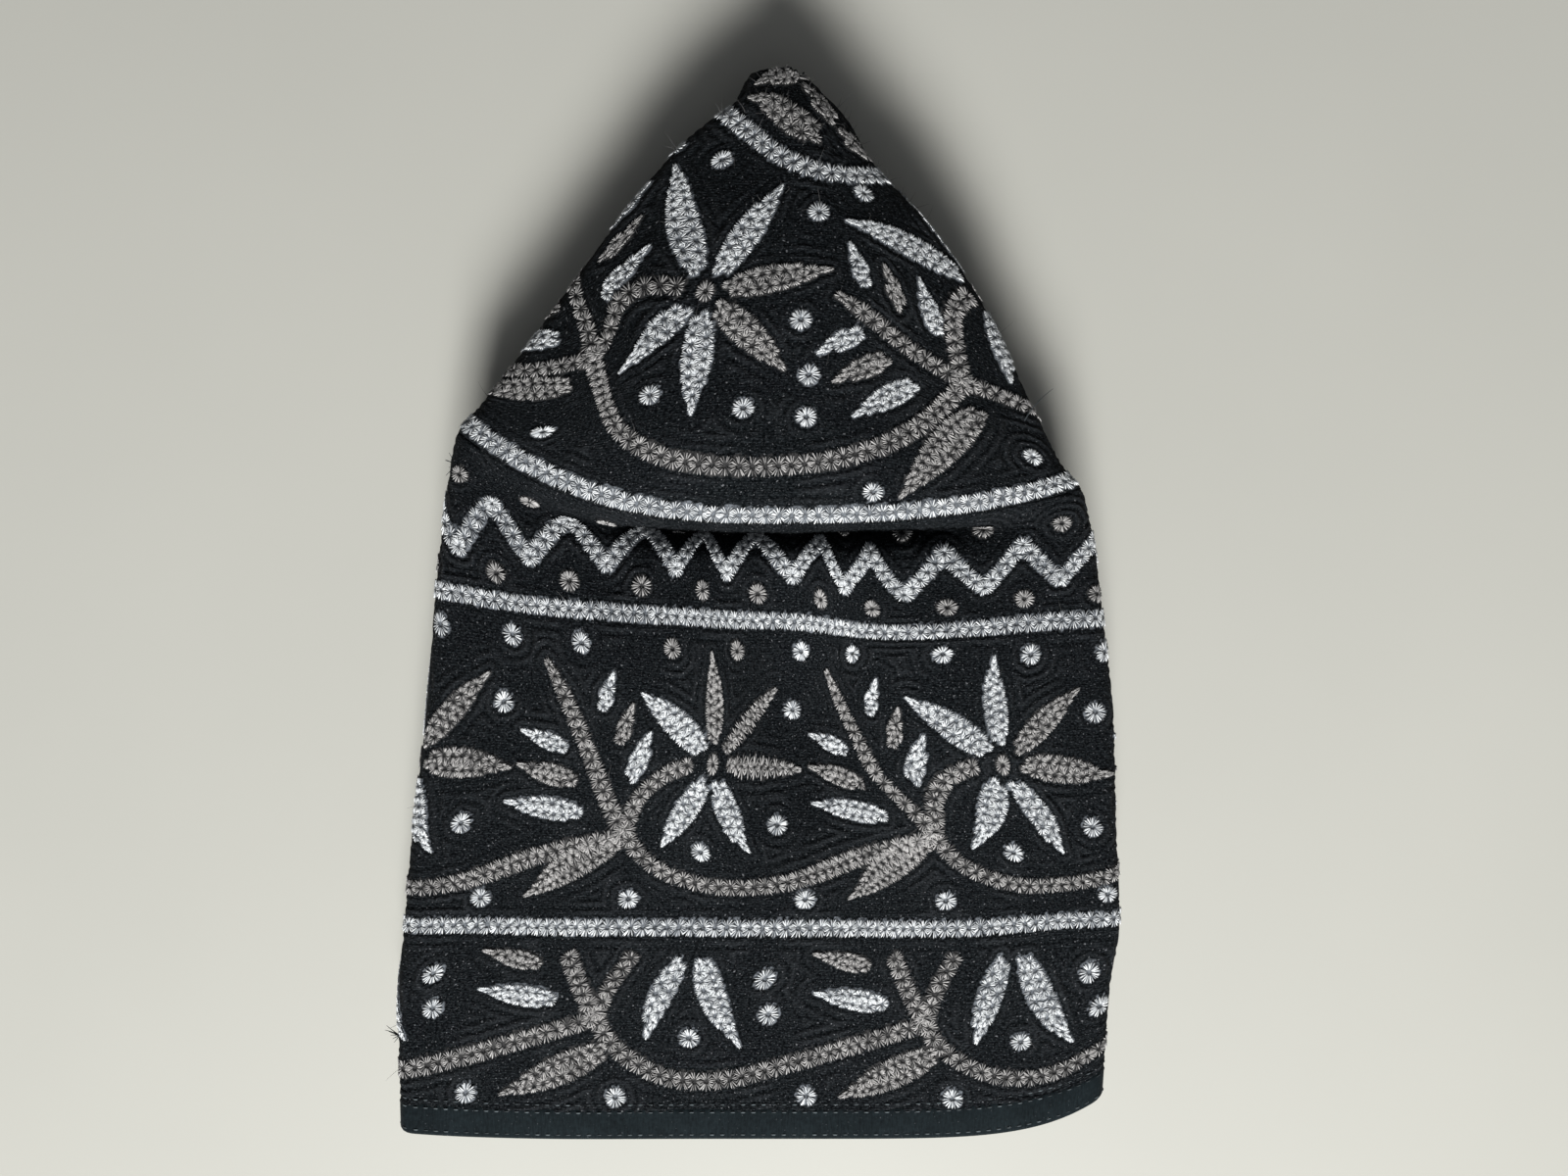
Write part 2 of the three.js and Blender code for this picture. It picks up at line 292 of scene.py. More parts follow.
def half_ring(m, side, counts):
    """Half of the cloth's middle surface at each height m, from the front's middle to the back's."""
    m = m[:, None]
    radius = BAND_HEIGHT + CROWN_RADIUS - m
    small = np.minimum(1, radius / SMALL_RADIUS)
    far = "right" if side > 0 else "left"
    columns = f"midX midY {far}X {far}Y bow back floor crest edge roll tuck lower open lift"
    mid_x, mid_y, far_x, far_y, bow, back, floor, crest, edge, roll, tuck, lower, spread, lift = (
        fold(column, m) for column in columns.split())
    width = np.maximum(LEAST_WIDTH, side * (far_x - mid_x))
    rise = far_y - mid_y
    floor = floor + WALL_INWARD
    crest = crest - WALL_INWARD
    roll = np.minimum(roll, width * ROLL_SHARE)
    tuck = tuck * small
    lower = np.minimum(lower * small, width * LOWER_SHARE)
    power = FLATNESS["hem"] + (FLATNESS["crown"] - FLATNESS["hem"]) * smooth(0, BAND_HEIGHT, m)
    roll_x = width - roll
    lean = 0 * m
    for _ in range(6):
        drop = np.maximum(0, crest - edge - roll * np.cos(lean))
        lean = np.arctan(power * drop / (roll_x + roll * np.sin(lean)))
    front_x = roll_x + roll * np.sin(lean)
    front_z = edge + roll * np.cos(lean)
    lower_x = np.maximum(width - LOWER_INSET * small - lower, LOWER_REACH * width)
    tuck_x = np.minimum(np.minimum(width * spread + tuck, roll_x), lower_x)
    stretches = []

    def add(x, z, depth, front):
        stretches.append(np.broadcast_arrays(x + 0 * m, z + 0 * m, depth + 0 * m, front + 0 * m))

    def line(count, start, end, depths):
        f = np.arange(count)[None, :] / count
        depth = depths[0] + (depths[1] - depths[0]) * f
        add(start[0] + (end[0] - start[0]) * f, start[1] + (end[1] - start[1]) * f, depth, 0)

    def arc(count, x, z, size, start, turn, depth):
        angle = start + (np.pi - start) * np.arange(count)[None, :] / count
        add(x + turn * size * np.sin(angle), z + size * np.cos(angle), depth, 0)

    f = np.arange(counts[0])[None, :] / counts[0]
    add(front_x * f, front_z + (crest - front_z) * (1 - f**power), 0, 1 - f**4)
    arc(counts[1], roll_x, edge, roll, lean, 1, 0)
    line(counts[2], (roll_x, edge - roll), (tuck_x, lift + tuck), (0, 0.4))
    arc(counts[3], tuck_x, lift, tuck, 0, -1, 0.5)
    line(counts[4], (tuck_x, lift - tuck), (lower_x, floor + 2 * lower), (0.6, 1))
    arc(counts[5], lower_x, floor + lower, lower, 0, 1, 1)
    line(counts[6], (lower_x, floor), (0 * m, floor), (1, 1))
    add(0 * m, floor, 1, 0)
    across, height, depth, front = (np.concatenate(part, axis=1) for part in zip(*stretches))
    share = np.minimum(1, across / width)
    x = mid_x + side * across
    z = height + front * dent_height(x, m)
    creased = np.stack([x, mid_y + rise * share**bow + back * depth, z], axis=-1)
    travelled = travelled_along(creased)
    turn = np.pi * travelled / travelled[:, -1:]
    middle = (crest + floor) / 2
    oval_y = mid_y + rise * np.abs(np.sin(turn)) ** bow + back * (1 - np.cos(turn)) / 2
    oval_z = middle + (crest - middle) * np.cos(turn)
    oval = np.stack([mid_x + side * width * np.sin(turn), oval_y, oval_z], axis=-1)
    plain = (1 - smooth(BLUNT[0], BLUNT[1], radius))[..., None]
    return creased * (1 - plain) + oval * plain


# A map of the whole cloth: rows up the cloth, columns round it, both halves by share of length.
MAP_ROWS = np.concatenate([np.arange(0, 143, 1.0), np.arange(143, 234.6, 0.8), [234.6]])
MAP_COUNTS = (70, 14, 24, 8, 24, 8, 40)
MAP_SHARES = np.linspace(0, 1, 501)


def chart_half(side):
    rings = half_ring(MAP_ROWS, side, MAP_COUNTS)
    travelled = travelled_along(rings)
    chart = np.empty((len(rings), len(MAP_SHARES), 3))
    for row, ring, length in zip(chart, rings, travelled):
        for axis in range(3):
            row[:, axis] = np.interp(MAP_SHARES, length / length[-1], ring[:, axis])
    return chart, travelled[:, -1]


right_chart, right_length = chart_half(1)
left_chart, left_length = chart_half(-1)
CHART = np.concatenate([left_chart[:, :0:-1], right_chart], axis=1)
CHART_NORMAL = unit(np.cross(np.gradient(CHART, axis=1), np.gradient(CHART, MAP_ROWS, axis=0)))

# How far the pattern has crept sideways and up the cloth in the front layer, in millimetres,
# at five places round the cap, in rows up the cloth.
CREEP_MIDDLE = 12
CREEP_FADE = (120, 260)
CREEP_PLACES = np.array([-90, -54, -18, 18, 54, 90, 126])
CREEP_ROWS = np.array([0, 24, 52, 67, 82, 105, 126, 143])
SLIDE = np.array([
    [-14, -14, -14, -14, -14.5, -14, -10],
    [-11, -11.5, -13.5, -13.6, -17.5, -16, -12],
    [-3, -3, -8.5, -8.8, -16.2, -18.5, -14],
    [-5, -7, -9, -14.2, -18.7, -21.3, -17],
    [-3, -4.4, -8.5, -16, -23.5, -24.8, -20],
    [-3, -3.6, -7.2, -16.4, -25.8, -26, -22],
    [-4, -5.9, -6.6, -17, -27.5, -27.2, -22],
    [-4, -5.9, -6.6, -17, -27.5, -27.2, -22],
])
DRIFT_ROWS = np.array([0, 10, 25, 45, 67, 92, 105, 112, 126, 143])
DRIFT = np.array([
    [0, 0, 0, 0, 0, 0, 0],
    [0, 0, 0, 0, -1, -2, 0],
    [0, 0.5, 0.5, 0, -1.5, -4.5, 0],
    [0, 1, 0.7, 0.3, 0.3, 2.6, 0],
    [0, 1.5, 0, -0.9, -0.5, 0, 0],
    [0, 1.4, 0, -0.4, -0.8, -0.8, 0],
    [0, 0.6, 0, -0.4, -1, -2, 0],
    [0, 0.9, 1, 0.2, -2.7, -0.5, 0],
    [0, 3.3, 3, 1.5, -4, -0.3, 0],
    [0, 0, 0, 0, 0, 0, 0],
])


def between_four(table, i, j, f, g):
    """The value at shares f and g of the way from row i and column j of a table to the next."""
    low = table[i, j] * (1 - g) + table[i, j + 1] * g
    high = table[i + 1, j] * (1 - g) + table[i + 1, j + 1] * g
    return low * (1 - f) + high * f


def creep(table, rows, s, m):
    """The table's value at any place, eased out to nothing round the back."""
    i = np.clip(np.searchsorted(rows, m) - 1, 0, len(rows) - 2)
    j = np.clip(np.searchsorted(CREEP_PLACES, s) - 1, 0, len(CREEP_PLACES) - 2)
    f = smooth(rows[i], rows[i + 1], m)
    g = smooth(CREEP_PLACES[j], CREEP_PLACES[j + 1], s)
    return between_four(table, i, j, f, g) * (1 - smooth(*CREEP_FADE, np.abs(s - CREEP_MIDDLE)))


def look_up(table, m, share):
    """The reading of a chart at height m and share -1 to 1 round the cloth."""
    row = np.interp(m, MAP_ROWS, np.arange(len(MAP_ROWS)))
    column = (np.clip(share, -1, 1) + 1) * (len(MAP_SHARES) - 1)
    i = np.minimum(row.astype(int), len(MAP_ROWS) - 2)
    j = np.minimum(column.astype(int), table.shape[1] - 2)
    return between_four(table, i, j, (row - i)[..., None], (column - j)[..., None])


TRUE_REACH = 90
TRUE_SHARE = 0.45


def share_of(run, half, length):
    """The share of a half ring for a length of pattern: true in front, eased to fit behind."""
    near = np.minimum(TRUE_REACH, TRUE_SHARE * half)
    beyond = np.maximum(0, np.abs(run) - near)
    travelled = np.minimum(np.abs(run), near) + beyond * (length - near) / (half - near)
    return np.sign(run) * np.minimum(1, travelled / length)


def run_of(share, half, length):
    """The length of pattern at a share of a half ring, the reverse of share_of."""
    near = np.minimum(TRUE_REACH, TRUE_SHARE * half)
    travelled = np.abs(share) * length
    beyond = np.maximum(0, travelled - near)
    return np.sign(share) * (np.minimum(travelled, near) + beyond * (half - near) / (length - near))


def half_length(m, run):
    left = np.interp(m, MAP_ROWS, left_length)
    right = np.interp(m, MAP_ROWS, right_length)
    return np.where(run < 0, left, right)


def lifted(m, share, lift):
    """Points over the cloth's middle surface, in millimetres."""
    normal = unit(look_up(CHART_NORMAL, m, share))
    return look_up(CHART, m, share) + normal * (lift + 0 * m)[..., None]


def band_share(s, m):
    """Height and share round the cloth for a place of the band's pattern."""
    run = s + creep(SLIDE, CREEP_ROWS, s, m)
    height = m + creep(DRIFT, DRIFT_ROWS, s, m)
    return height, share_of(run, CIRCUMFERENCE / 2, half_length(height, run))


def band_pattern(height, share):
    """The place of the band's pattern at a height and share, the reverse of band_share."""
    run = run_of(share, CIRCUMFERENCE / 2, half_length(height, share))
    s = run
    m = height
    for _ in range(8):
        s = run - creep(SLIDE, CREEP_ROWS, s, m)
        m = height - creep(DRIFT, DRIFT_ROWS, s, m)
    return s, m


# The embroidery of the band: white and grey cotton thread in rows of tiny eyelets, each a dark
# hole with stitches fanned round it. Eight repeats of a flower on its stem go round the band,
# between sewn lines, under a zigzag with dots.
REPEATS = 8
REPEAT = CIRCUMFERENCE / REPEATS
EYELET_PITCH = 2.45
EYELET_SHARE = 0.56
LOOK_AHEAD = 0.4
THIN_START = 0.3
LINE_HALF_WIDTH = 1.95
HOLE_RADIUS = 0.5
WHITE = 0
GREY = 1
IN_TURNS = 2

# Leaves and petals of one repeat: thread, blunt end (s, m), pointed end (s, m), half width.
BAND_LEAVES = [
    (WHITE, -2.6, 84, -18, 95.6, 2.8),
    (IN_TURNS, -0.4, 85.5, -0.7, 104.6, 2.3),
    (WHITE, 1.6, 78, 9.2, 63, 2.6),
    (WHITE, -1.2, 78.2, -10.6, 64.2, 2.7),
    (GREY, -19.5, 65.5, -43.6, 52, 3),
    (WHITE, -34.4, 83.5, -45.8, 86.6, 1.6),
    (GREY, -30.8, 76.9, -45.8, 79.8, 1.9),
    (WHITE, -28, 70.4, -46.2, 72.4, 2),
    (WHITE, -27.6, 91.4, -25, 99.4, 1.6),
    (GREY, -23, 84.6, -20.5, 93.1, 1.6),
    (WHITE, -19.4, 77.3, -16.4, 87.2, 1.8),
    (WHITE, -4.8, 38.6, -8.4, 22.2, 2.4),
    (WHITE, -1, 38.6, 10.6, 20.4, 2.4),
    (GREY, -16.4, 19.6, -38.6, 10, 2.9),
    (GREY, -34, 36.8, -49.2, 39.4, 1.6),
    (WHITE, -27.6, 29.6, -46, 31.3, 1.9),
]
# The two petals filled with cross bars on the middle flower: blunt end, pointed end, half width.
BARRED_PETALS = [
    (3, 84, 17.5, 97.2, 2.3),
    (4.2, 81.2, 23.4, 79.2, 2.7),
]
# Stems of one repeat: half width, length of the thin end, the places that the stem goes through.
BAND_STEMS = [
    (1.9, 0, [(-5.4, 81.4), (-11.8, 79), (-17.2, 73.4), (-18.8, 66)]),
    (2, 0, [(-18.8, 66), (-14.5, 60.2), (-7.6, 56.2), (1.5, 54.2), (14.2, 55.2), (32.5, 60.8),
           (53.2, 66)]),
    (2, 12, [(-18.8, 66), (-30.2, 84.2), (-40.7, 101.6)]),
    (1.9, 0, [(-29.4, 39.6), (-24.6, 33.6), (-18.9, 26)]),
    (1.9, 0, [(-14.9, 39.4), (-17.4, 33), (-18.9, 26)]),
    (2, 0, [(-18.9, 26), (-15, 19.8), (-5.4, 14), (6.3, 12.8), (20.6, 16.2), (36.1, 20.8),
           (53.1, 26)]),
]
# Dots of one repeat: thread, place (s, m), radius across and up where it isn't the usual one.
BAND_DOT = (1.9, 1.9)
BAND_DOTS = [
    (GREY, 0.2, 81.4, 1.3, 2),
    (WHITE, 21.2, 92.2),
    (WHITE, 16.8, 68.2),
    (WHITE, -2, 62.5),
    (WHITE, 17.6, 51.4),
    (WHITE, -18.5, 51.4),
    (WHITE, -48.4, 105.7),
    (WHITE, -32, 105.7),
    (IN_TURNS, -11.4, 105.7, 1.8, 1.9),
    (IN_TURNS, 7.2, 105.7, 1.8, 1.9),
    (WHITE, 13.8, 34.2),
    (WHITE, 16.5, 26.8),
    (WHITE, 0.4, 21.6, 1.8, 1.8),
    (WHITE, -46.6, 9.8),
    (WHITE, -14.6, 9.6),
]
BAND_LINES = (45.0, 112.0)
ZIGZAG = {"teeth": 36, "first": 14.0, "low": 121.2, "high": 130.6, "half width": 1.85, "corner": 0.8,
          "pitch": 2.3}
ZIGZAG_DOTS = {"low": 117.6, "high": 134.6, "radius": 1.85}


def through(places, closed=False):
    """A smooth line through the places, in close steps."""
    if closed:
        knots = np.array([places[-1], *places, places[0], places[1]], float)
    else:
        knots = np.array([places[0], *places, places[-1]], float)
    pieces = []
    for a, b, c, d in zip(knots, knots[1:], knots[2:], knots[3:]):
        f = np.linspace(0, 1, 24, endpoint=False)[:, None]
        bend = 2 * b + (c - a) * f + (2 * a - 5 * b + 4 * c - d) * f**2 + (3 * b - a - 3 * c + d) * f**3
        pieces.append(bend / 2)
    return np.concatenate([*pieces, [knots[-2]]])


def eyelets_along(line, thread, half_width, pitch=EYELET_PITCH, thin_end=0):
    """One row of eyelets: thread, centre, direction, half length and half width of each."""
    travelled = travelled_along(line)
    count = max(1, round(travelled[-1] / pitch))
    gap = travelled[-1] / count
    places = (np.arange(count) + 0.5) * gap

    def at(places):
        return np.stack([np.interp(places, travelled, line[:, i]) for i in (0, 1)], axis=1)

    way = unit(at(places + LOOK_AHEAD) - at(places - LOOK_AHEAD))
    one = np.ones((count, 1))
    wide = half_width * one
    if thin_end:
        wide *= np.clip(THIN_START + (travelled[-1] - places[:, None]) / thin_end, 0, 1)
    return np.concatenate([thread * one, at(places), way, gap * EYELET_SHARE * one, wide], axis=1)


# A leaf is filled with two staggered rows of eyelets, and with one row where it is narrow.
LEAF = {"trim": 0.7, "pitch": 2.15, "narrow": 1.45, "stagger": 0.25, "row place": 0.48,
        "row width": 0.56, "overlap": 0.6, "least": 0.45, "fullness": 1.08, "widest at": 0.38,
        "blunt end": 0.405, "pointed end": 0.64, "curve": 1.9}
LEAF_TIP = (0.9, 0.3)
BAR_PITCH = 1.75
BAR_SHARE = 0.48
BAR_LEAST = 0.4
DOT_FULLNESS = 1.14


def leaf_breadth(share, half_width):
    """Half the width of a leaf at a share of its length, blunt end first."""
    widest = half_width * LEAF["fullness"]
    middle = LEAF["widest at"]
    if share < middle:
        return widest * math.sqrt(1 - ((middle - max(share, 0)) / LEAF["blunt end"]) ** 2)
    return widest * (1 - ((min(share, 1) - middle) / LEAF["pointed end"]) ** LEAF["curve"])


def bars_in_leaf(thread, blunt, point, half_width):
    """Flat fans side by side, each as wide as the leaf, that read as cross bars."""
    span = np.array(point) - np.array(blunt)
    length = np.linalg.norm(span)
    count = round(length / BAR_PITCH)
    found = []
    for share in [(k + 0.5) / count for k in range(count)]:
        wide = max(BAR_LEAST, leaf_breadth(share, half_width))
        found.append((thread, *(blunt + span * share), *(span / length), BAR_SHARE * BAR_PITCH, wide))
    return np.array(found)


def eyelets_in_leaf(thread, blunt, point, half_width):
    span = np.array(point) - np.array(blunt)
    length = np.linalg.norm(span)
    way = span / length
    across = np.array([-way[1], way[0]])
    blunt = blunt + way * LEAF["trim"]
    length -= LEAF["trim"]
    count = max(3, round(length / LEAF["pitch"]))
    gap = length / count
    found = []
    for k in range(count):
        wide = leaf_breadth((k + 0.5) / count, half_width)
        if wide < LEAF["narrow"]:
            middle = blunt + way * (k + 0.5) * gap
            found.append((thread, *middle, *way, gap * LEAF["overlap"], max(LEAF["least"], wide)))
            continue
        for side in (-1, 1):
            place = (k + 0.5 + LEAF["stagger"] * side) * gap
            wide = leaf_breadth(place / length, half_width)
            middle = blunt + way * place + across * side * wide * LEAF["row place"]
            found.append((thread, *middle, *way, gap * LEAF["overlap"], wide * LEAF["row width"]))
    found.append((thread, *(blunt + way * length), *way, *LEAF_TIP))
    return np.array(found)


def dot_eyelet(thread, s, m, across, up):
    return np.array([(thread, s, m, 0, 1, up * DOT_FULLNESS, across * DOT_FULLNESS)] * 2)


def repeat_eyelets(k):
    """All eyelets of one repeat of the band's flower; some change thread from one to the next."""
    rows = []
    for half_width, thin_end, places in BAND_STEMS:
        rows.append(eyelets_along(through(places), GREY, half_width, EYELET_PITCH, thin_end))
    for s0, m0, s1, m1, half_width in BARRED_PETALS:
        fill = eyelets_in_leaf if k else bars_in_leaf
        rows.append(fill(GREY, (s0, m0), (s1, m1), half_width))
    for thread, s0, m0, s1, m1, half_width in BAND_LEAVES:
        rows.append(eyelets_in_leaf(thread, (s0, m0), (s1, m1), half_width))
    for thread, s, m, *size in BAND_DOTS:
        rows.append(dot_eyelet(thread, s, m, *(size or BAND_DOT)))
    every = np.concatenate(rows)
    every[every[:, 0] == IN_TURNS, 0] = WHITE if k % 2 else GREY
    every[:, 1] += k * REPEAT
    return every


def ring_eyelets():
    """The eyelets of the sewn lines and of the zigzag with its dots, all round the band."""
    half = CIRCUMFERENCE / 2
    rows = []
    for m in BAND_LINES:
        line = np.stack([np.linspace(-half, half, 577), np.full(577, m)], axis=1)
        rows.append(eyelets_along(line, WHITE, LINE_HALF_WIDTH))
    tooth = CIRCUMFERENCE / ZIGZAG["teeth"]
    for k in range(ZIGZAG["teeth"]):
        peak = ZIGZAG["first"] + k * tooth
        top = np.array([peak, ZIGZAG["high"]])
        for way in (-1, 1):
            span = np.array([way * tooth / 2, ZIGZAG["low"] - ZIGZAG["high"]])
            corner = unit(span) * ZIGZAG["corner"]
            line = np.array([top - corner, top + span + corner])
            rows.append(eyelets_along(line, WHITE, ZIGZAG["half width"], ZIGZAG["pitch"]))
        radius = ZIGZAG_DOTS["radius"]
        rows.append(dot_eyelet(GREY, peak, ZIGZAG_DOTS["low"], radius, radius))
        rows.append(dot_eyelet(GREY, peak + tooth / 2, ZIGZAG_DOTS["high"], radius, radius))
    return np.concatenate(rows)


def band_eyelets():
    every = np.concatenate([ring_eyelets()] + [repeat_eyelets(k) for k in range(REPEATS)])
    half = CIRCUMFERENCE / 2
    every[:, 1] = (every[:, 1] + half) % CIRCUMFERENCE - half
    return every


# How a fan's stitches vary: share of the angle to the next one, of the reach and of the hole.
STITCH_SPREAD = {"angle": (0.2, 0.8), "reach": (0.9, 1.07), "hole": (0.7, 1.3)}
HOLE_SHARE = 0.38
SQUARENESS = {"dot": 2.0, "eyelet": 4.0}
SEARCH_FAN = (10, 3)


def fan_of_stitches(eyelets, count, seed):
    """Stitches fanned round each eyelet: inner end, outer end and thread of each, laid flat."""
    random = np.random.default_rng(seed)
    spread = random.uniform(*STITCH_SPREAD["angle"], (len(eyelets), count))
    angle = (np.arange(count)[None, :] + spread) * 2 * np.pi / count
    half_length = eyelets[:, 5:6]
    half_width = eyelets[:, 6:7]
    squareness = np.where(eyelets[:, 4:5] == 1, SQUARENESS["dot"], SQUARENESS["eyelet"])
    along = np.cos(angle)
    across = np.sin(angle)
    reach = np.abs(along / half_length) ** squareness + np.abs(across / half_width) ** squareness
    reach = reach ** (-1 / squareness) * random.uniform(*STITCH_SPREAD["reach"], angle.shape)
    hole = np.minimum(HOLE_RADIUS, np.minimum(half_width, half_length) * HOLE_SHARE)
    hole = hole * random.uniform(*STITCH_SPREAD["hole"], angle.shape)
    way = eyelets[:, 3:5]
    side = np.stack([-way[:, 1], way[:, 0]], axis=1)
    ray = along[..., None] * way[:, None, :] + across[..., None] * side[:, None, :]
    centre = eyelets[:, None, 1:3]
    thread = np.repeat(eyelets[:, :1], count, axis=1)
    inner, outer = ((centre + ray * part[..., None]).reshape(-1, 2) for part in (hole, reach))
    return inner, outer, thread.ravel()


def flat_tree(eyelets):
    """A search tree of the stitched places, and which thread each belongs to."""
    inner, outer, thread = fan_of_stitches(eyelets, *SEARCH_FAN)
    places = np.concatenate([inner, (inner + outer) / 2, outer])
    tree = KDTree(len(places))
    for i, (x, y) in enumerate(places):
        tree.insert((x, y, 0), i)
    tree.balance()
    return tree, np.tile(thread, 3)


def distance_to_stitches(tree, threads, places):
    """How far each place lies from the nearest stitch, and that stitch's thread."""
    found = [tree.find((x, y, 0)) for x, y in places]
    return np.array([hit[2] for hit in found]), threads[[hit[1] for hit in found]]


band_marks = band_eyelets()
band_search = flat_tree(band_marks)

# The side band's cloth: black cotton drawn in between rows of cord, so that low ridges follow
# the outline of every motif, and a plain lining inside.
CORD_PITCH = 1.95
CORD_HEIGHT = 0.25
CORD_START = (0.45, 0.9)
ROW_PITCH = 0.55
PAD_HEIGHT = 0.25
PAD_EDGE = (0.3, 0.8)
FINE_SHARE = 0.33
FAR = 9.0


def cord_relief(distance):
    """Height of the quilted cloth by its distance to the nearest stitch."""
    wave = 0.5 - 0.5 * np.cos(2 * np.pi * (distance - CORD_START[0]) / CORD_PITCH)
    ridge = CORD_HEIGHT * wave * smooth(*CORD_START, distance)
    return ridge + PAD_HEIGHT * (1 - smooth(*PAD_EDGE, distance))


def store(mesh, name, kind, values):
    """Keeps one value for each point of a mesh, for its nodes to read."""
    field = "vector" if kind == "FLOAT_VECTOR" else "value"
    data = mesh.attributes.new(name, kind, "POINT").data
    data.foreach_set(field, values.astype(np.float32).ravel())


def zip_rows(first, second, first_place, second_place):
    """Triangles between two rows of points, first on the left, that run the same way."""
    steps = sorted([(place, 0) for place in first_place[1:]] + [(place, 1) for place in second_place[1:]])
    at = [0, 0]
    faces = []
    for _, side in steps:
        faces.append((first[at[0]], second[at[1]], (first, second)[side][at[side] + 1]))
        at[side] += 1
    return faces


class Wall:
    """A closed wall of cloth, gathered from grids of points and the strips between them."""

    def __init__(self):
        self.parts = []
        self.faces = []
        self.size = 0

    def add(self, points, places, distances, threads):
        """Takes points with their places on the cloth, and returns their numbers."""
        self.parts.append((points.reshape(-1, 3), places.reshape(-1, 2), distances.ravel(), threads.ravel()))
        numbers = self.size + np.arange(distances.size).reshape(distances.shape)
        self.size += distances.size
        return numbers

    def grid(self, heights, shares, pattern, lift, search, inside=False):
        m, share = np.meshgrid(heights, shares, indexing="ij")
        places = np.stack(pattern(m, share), axis=-1)
        distance = np.full(m.shape, FAR)
        thread = np.zeros(m.shape)
        if search:
            found, which = distance_to_stitches(*search, places.reshape(-1, 2))
            distance = found.reshape(m.shape)
            thread = which.reshape(m.shape)
            lift = lift + cord_relief(distance)
        index = self.add(lifted(m, share, lift), places, distance, thread)
        low, right, high, left = index[:-1, :-1], index[:-1, 1:], index[1:, 1:], index[1:, :-1]
        order = (low, left, high, right) if inside else (low, right, high, left)
        self.faces.extend(np.stack(order, axis=-1).reshape(-1, 4).tolist())
        return index

    def tip(self, loop, point, inside=False):
        """Closes a small loop with a fan to one point."""
        top = self.add(point, np.zeros(2), np.array([FAR]), np.zeros(1))[0]
        for a, b in zip(loop, loop[1:]):
            self.faces.append((b, a, top) if inside else (a, b, top))

    def mesh(self, name):
        mesh = bpy.data.meshes.new(name)
        points, places, distances, threads = (np.concatenate(part) for part in zip(*self.parts))
        mesh.from_pydata((points + ORIGIN_SHIFT) * MM, [], [tuple(face) for face in self.faces])
        corners = np.empty(len(mesh.loops), int)
        mesh.loops.foreach_get("vertex_index", corners)
        cloth = places[corners]
        starts, totals = (np.empty(len(mesh.polygons), int) for _ in range(2))
        mesh.polygons.foreach_get("loop_start", starts)
        mesh.polygons.foreach_get("loop_total", totals)
        most = np.repeat(np.maximum.reduceat(cloth[:, 0], starts), totals)
        cloth[:, 0] += np.where(most - cloth[:, 0] > CIRCUMFERENCE / 2, CIRCUMFERENCE, 0)
        mesh.uv_layers.new(name="cloth").data.foreach_set("uv", cloth.astype(np.float32).ravel())
        store(mesh, "echo", "FLOAT", distances)
        store(mesh, "thread", "FLOAT", threads)
        mesh.polygons.foreach_set("use_smooth", np.ones(len(mesh.polygons), bool))
        mesh.update()
        return mesh


def cloth_wall(name, rows, shares, pattern, search, peak=None):
    """A quilted wall: rows and shares are fine in front, coarser behind, coarsest inside."""
    wall = Wall()
    fine = wall.grid(rows[0], shares[0], pattern, GROUND_OUTWARD, search)
    behind = wall.grid(rows[1], shares[1], pattern, GROUND_OUTWARD, search)
    lining = wall.grid(rows[2], shares[2], pattern, -WALL_INWARD, None, True)
    wall.faces += zip_rows(fine[:, -1], behind[:, 0], rows[0], rows[1])
    wall.faces += zip_rows(behind[:, -1], fine[:, 0], rows[1], rows[0])
    start = shares[0][0]
    ring_places = np.concatenate([shares[0], start + (shares[1] - start) % 2, [start + 2]])
    lining_places = np.concatenate([start + (shares[2] - start) % 2, [start + 2]])
    for row in (0, -1):
        ring = np.concatenate([fine[row], behind[row], fine[row][:1]])
        inner = np.concatenate([lining[row], lining[row][:1]])
        if row == 0:
            wall.faces += zip_rows(ring, inner, ring_places, lining_places)
        elif peak is None:
            wall.faces += zip_rows(inner, ring, lining_places, ring_places)
        else:
            wall.tip(ring, peak[0])
            wall.tip(inner, peak[1], True)
    wall.faces += [(lining[i, -1], lining[i + 1, -1], lining[i + 1, 0], lining[i, 0])
                   for i in range(len(lining) - 1)]
    return wall.mesh(name)


def spread_shares(fine_share, fine, behind, lining):
    """Shares round the cloth: close in front, wider behind, widest for the lining."""
    beyond = fine_share + (2 - 2 * fine_share) * np.arange(1, behind) / behind
    inside = -fine_share + 2 * np.arange(lining) / lining
    return np.linspace(-fine_share, fine_share, fine), (beyond + 1) % 2 - 1, (inside + 1) % 2 - 1


def to_object(mesh, material):
    mesh.materials.append(material)
    return put(mesh.name, mesh)


# The cotton's colours: dark and pale fibres, a painted sheen on the cords, lint, and under white and grey
# thread.
COTTON_BLACK = ((0.0010, 0.0016, 0.0022, 1), (0.026, 0.031, 0.035, 1))
COTTON_CORD_SHEEN = (0.048, 0.052, 0.058, 1)
COTTON_LINT = (0.30, 0.31, 0.33, 1)
UNDER_THREAD = ((0.15, 0.165, 0.185, 1), (0.045, 0.045, 0.046, 1))


